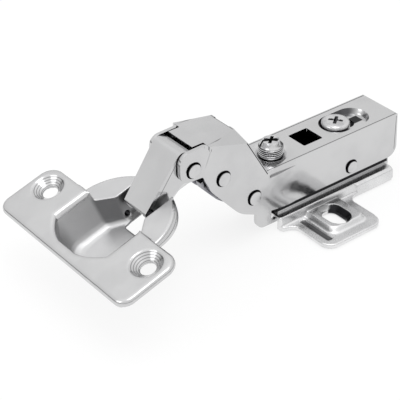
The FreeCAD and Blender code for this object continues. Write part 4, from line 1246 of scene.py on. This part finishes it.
@dataclass(frozen=True)
class Studio:
    """White floor, soft lamps and the camera of the picture."""

    azimuth: float = math.radians(-37.81)
    elevation: float = math.radians(33.84)
    roll: float = math.radians(-0.69)
    lens: float = 127.2
    sensor: float = 36.0
    place: Triple = (-0.25258, -0.27404, 0.24909)
    aim: Triple = (-0.03, 0.0, 0.02)
    floor_size: float = 3.0
    floor_cells: int = 4
    floor_grey: float = 0.95
    floor_height: float = -0.0004
    floor_glow: float = 0.82
    skirting: float = 0.02
    wall_top: float = 0.24
    skirting_level: float = 0.15
    wall_level: float = 0.92
    ceiling: float = 0.55
    ceiling_level: float = 1.20

    def camera_axes(self) -> Matrix:
        """The camera's right, up and back directions.

        Returns:
            A rotation matrix whose columns are those directions.
        """
        a, e, r = self.azimuth, self.elevation, self.roll
        back = np.array([math.sin(a) * math.cos(e), -math.cos(a) * math.cos(e), math.sin(e)])
        right = np.array([math.cos(a), math.sin(a), 0.0])
        up = np.cross(back, right)
        turned_right = right * math.cos(r) + up * math.sin(r)
        turned_up = -right * math.sin(r) + up * math.cos(r)
        return Matrix(np.stack([turned_right, turned_up, back], axis=1).tolist())

    def build_camera(self) -> None:
        """Places the camera."""
        data = bpy.data.cameras.new("photo_camera")
        data.sensor_width = self.sensor
        data.lens = self.lens
        data.clip_start = 0.01
        camera = bpy.data.objects.new("photo_camera", data)
        camera.matrix_world = Matrix.Translation(self.place) @ self.camera_axes().to_4x4()
        bpy.context.scene.collection.objects.link(camera)
        bpy.context.scene.camera = camera

    def build_floor(self) -> None:
        """Lays a plain white floor just under the plate."""
        half = self.floor_size / 2.0
        cells, row = self.floor_cells, self.floor_cells + 1
        side = np.linspace(-half, half, row)
        x, y = np.meshgrid(side, side)
        points = np.stack([x.ravel(), y.ravel(), np.full(x.size, self.floor_height)], axis=1)
        cell = (np.arange(cells)[:, None] * row + np.arange(cells)[None, :]).ravel()
        quads = np.stack([cell, cell + 1, cell + row + 1, cell + row], axis=1)
        floor = surface("studio_floor", points, quads, [])
        made = bpy.data.materials.new("plain_white_floor")
        made.use_nodes = True
        sheet = NodeSheet(made.node_tree)
        shader = sheet.add("ShaderNodeBsdfDiffuse")
        shader.inputs["Color"].default_value = (self.floor_grey, self.floor_grey, self.floor_grey, 1.0)
        white = sheet.add("ShaderNodeEmission")
        white.inputs["Strength"].default_value = 1.0
        rays = sheet.add("ShaderNodeLightPath").outputs
        seen = sheet.maths("MAXIMUM", rays["Is Camera Ray"], rays["Is Glossy Ray"])
        seen = sheet.maths("MAXIMUM", seen, rays["Is Transmission Ray"])
        paper = sheet.add("ShaderNodeMixShader")
        sheet.link(sheet.maths("MULTIPLY", seen, self.floor_glow), paper.inputs[0])
        sheet.link(shader.outputs[0], paper.inputs[1])
        sheet.link(white.outputs[0], paper.inputs[2])
        out = sheet.add("ShaderNodeOutputMaterial")
        sheet.link(paper.outputs[0], out.inputs["Surface"])
        floor.data.materials.append(made)

    def build_world(self) -> None:
        """Surrounds the scene with soft light: dark at the foot of the walls, bright overhead."""
        world = bpy.data.worlds.new("soft_studio")
        bpy.context.scene.world = world
        world.use_nodes = True
        sheet = NodeSheet(world.node_tree)
        direction = sheet.add("ShaderNodeTexCoord").outputs["Generated"]
        height = sheet.split(direction)[2]
        walls = sheet.ramp(height, self.skirting, self.wall_top, self.skirting_level, self.wall_level)
        ceiling = sheet.ramp(height, self.ceiling, 1.0, 0.0, self.ceiling_level - self.wall_level)
        level = sheet.maths("ADD", walls, ceiling)
        studio = sheet.add("ShaderNodeBackground")
        sheet.link(level, studio.inputs["Strength"])
        studio.inputs["Color"].default_value = (1.0, 1.0, 1.0, 1.0)
        out = sheet.add("ShaderNodeOutputWorld")
        sheet.link(studio.outputs[0], out.inputs["Surface"])

    def lamp(self, name: str, place: Triple, size: float, power: float) -> None:
        """Hangs one square soft lamp that points at the hinge.

        Args:
            name: the lamp's name.
            place: where it hangs, in metres.
            size: side length.
            power: watts.
        """
        data = bpy.data.lights.new(name, "AREA")
        data.size = size
        data.energy = power
        lamp = bpy.data.objects.new(name, data)
        back = np.array(place) - np.array(self.aim)
        back /= np.linalg.norm(back)
        right = np.cross(np.array(OUTWARD), back)
        right /= np.linalg.norm(right)
        up = np.cross(back, right)
        axes = Matrix(np.stack([right, up, back], axis=1).tolist())
        lamp.matrix_world = Matrix.Translation(place) @ axes.to_4x4()
        bpy.context.scene.collection.objects.link(lamp)

    def build(self) -> None:
        """Builds camera, floor, world and lamps."""
        self.build_camera()
        self.build_floor()
        self.build_world()
        self.lamp("overhead_softbox", (-0.10, -0.15, 0.75), 0.4, 0.9)
        self.lamp("left_softbox", (-0.75, 0.15, 0.45), 0.4, 0.6)
        bpy.context.scene.view_settings.view_transform = "Standard"


def main() -> None:
    """Loads the frame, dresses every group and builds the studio."""
    logging.basicConfig(level=logging.INFO, format="%(message)s")
    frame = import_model()
    nodes = frame["nodes"]
    mounting = MountingGroup(nodes)
    mounting.dress_nodes()
    mounting.build_spring()
    screws = ScrewGroup(nodes)
    screws.dress_nodes()
    screws.build_threads()
    arm = ArmGroup(nodes)
    arm.dress_nodes()
    arm.build_heads()
    cup = CupGroup(nodes)
    cup.dress_nodes()
    cup.build_skirts()
    cup.build_bosses()
    Studio().build()


if __name__ == "__main__":
    main()
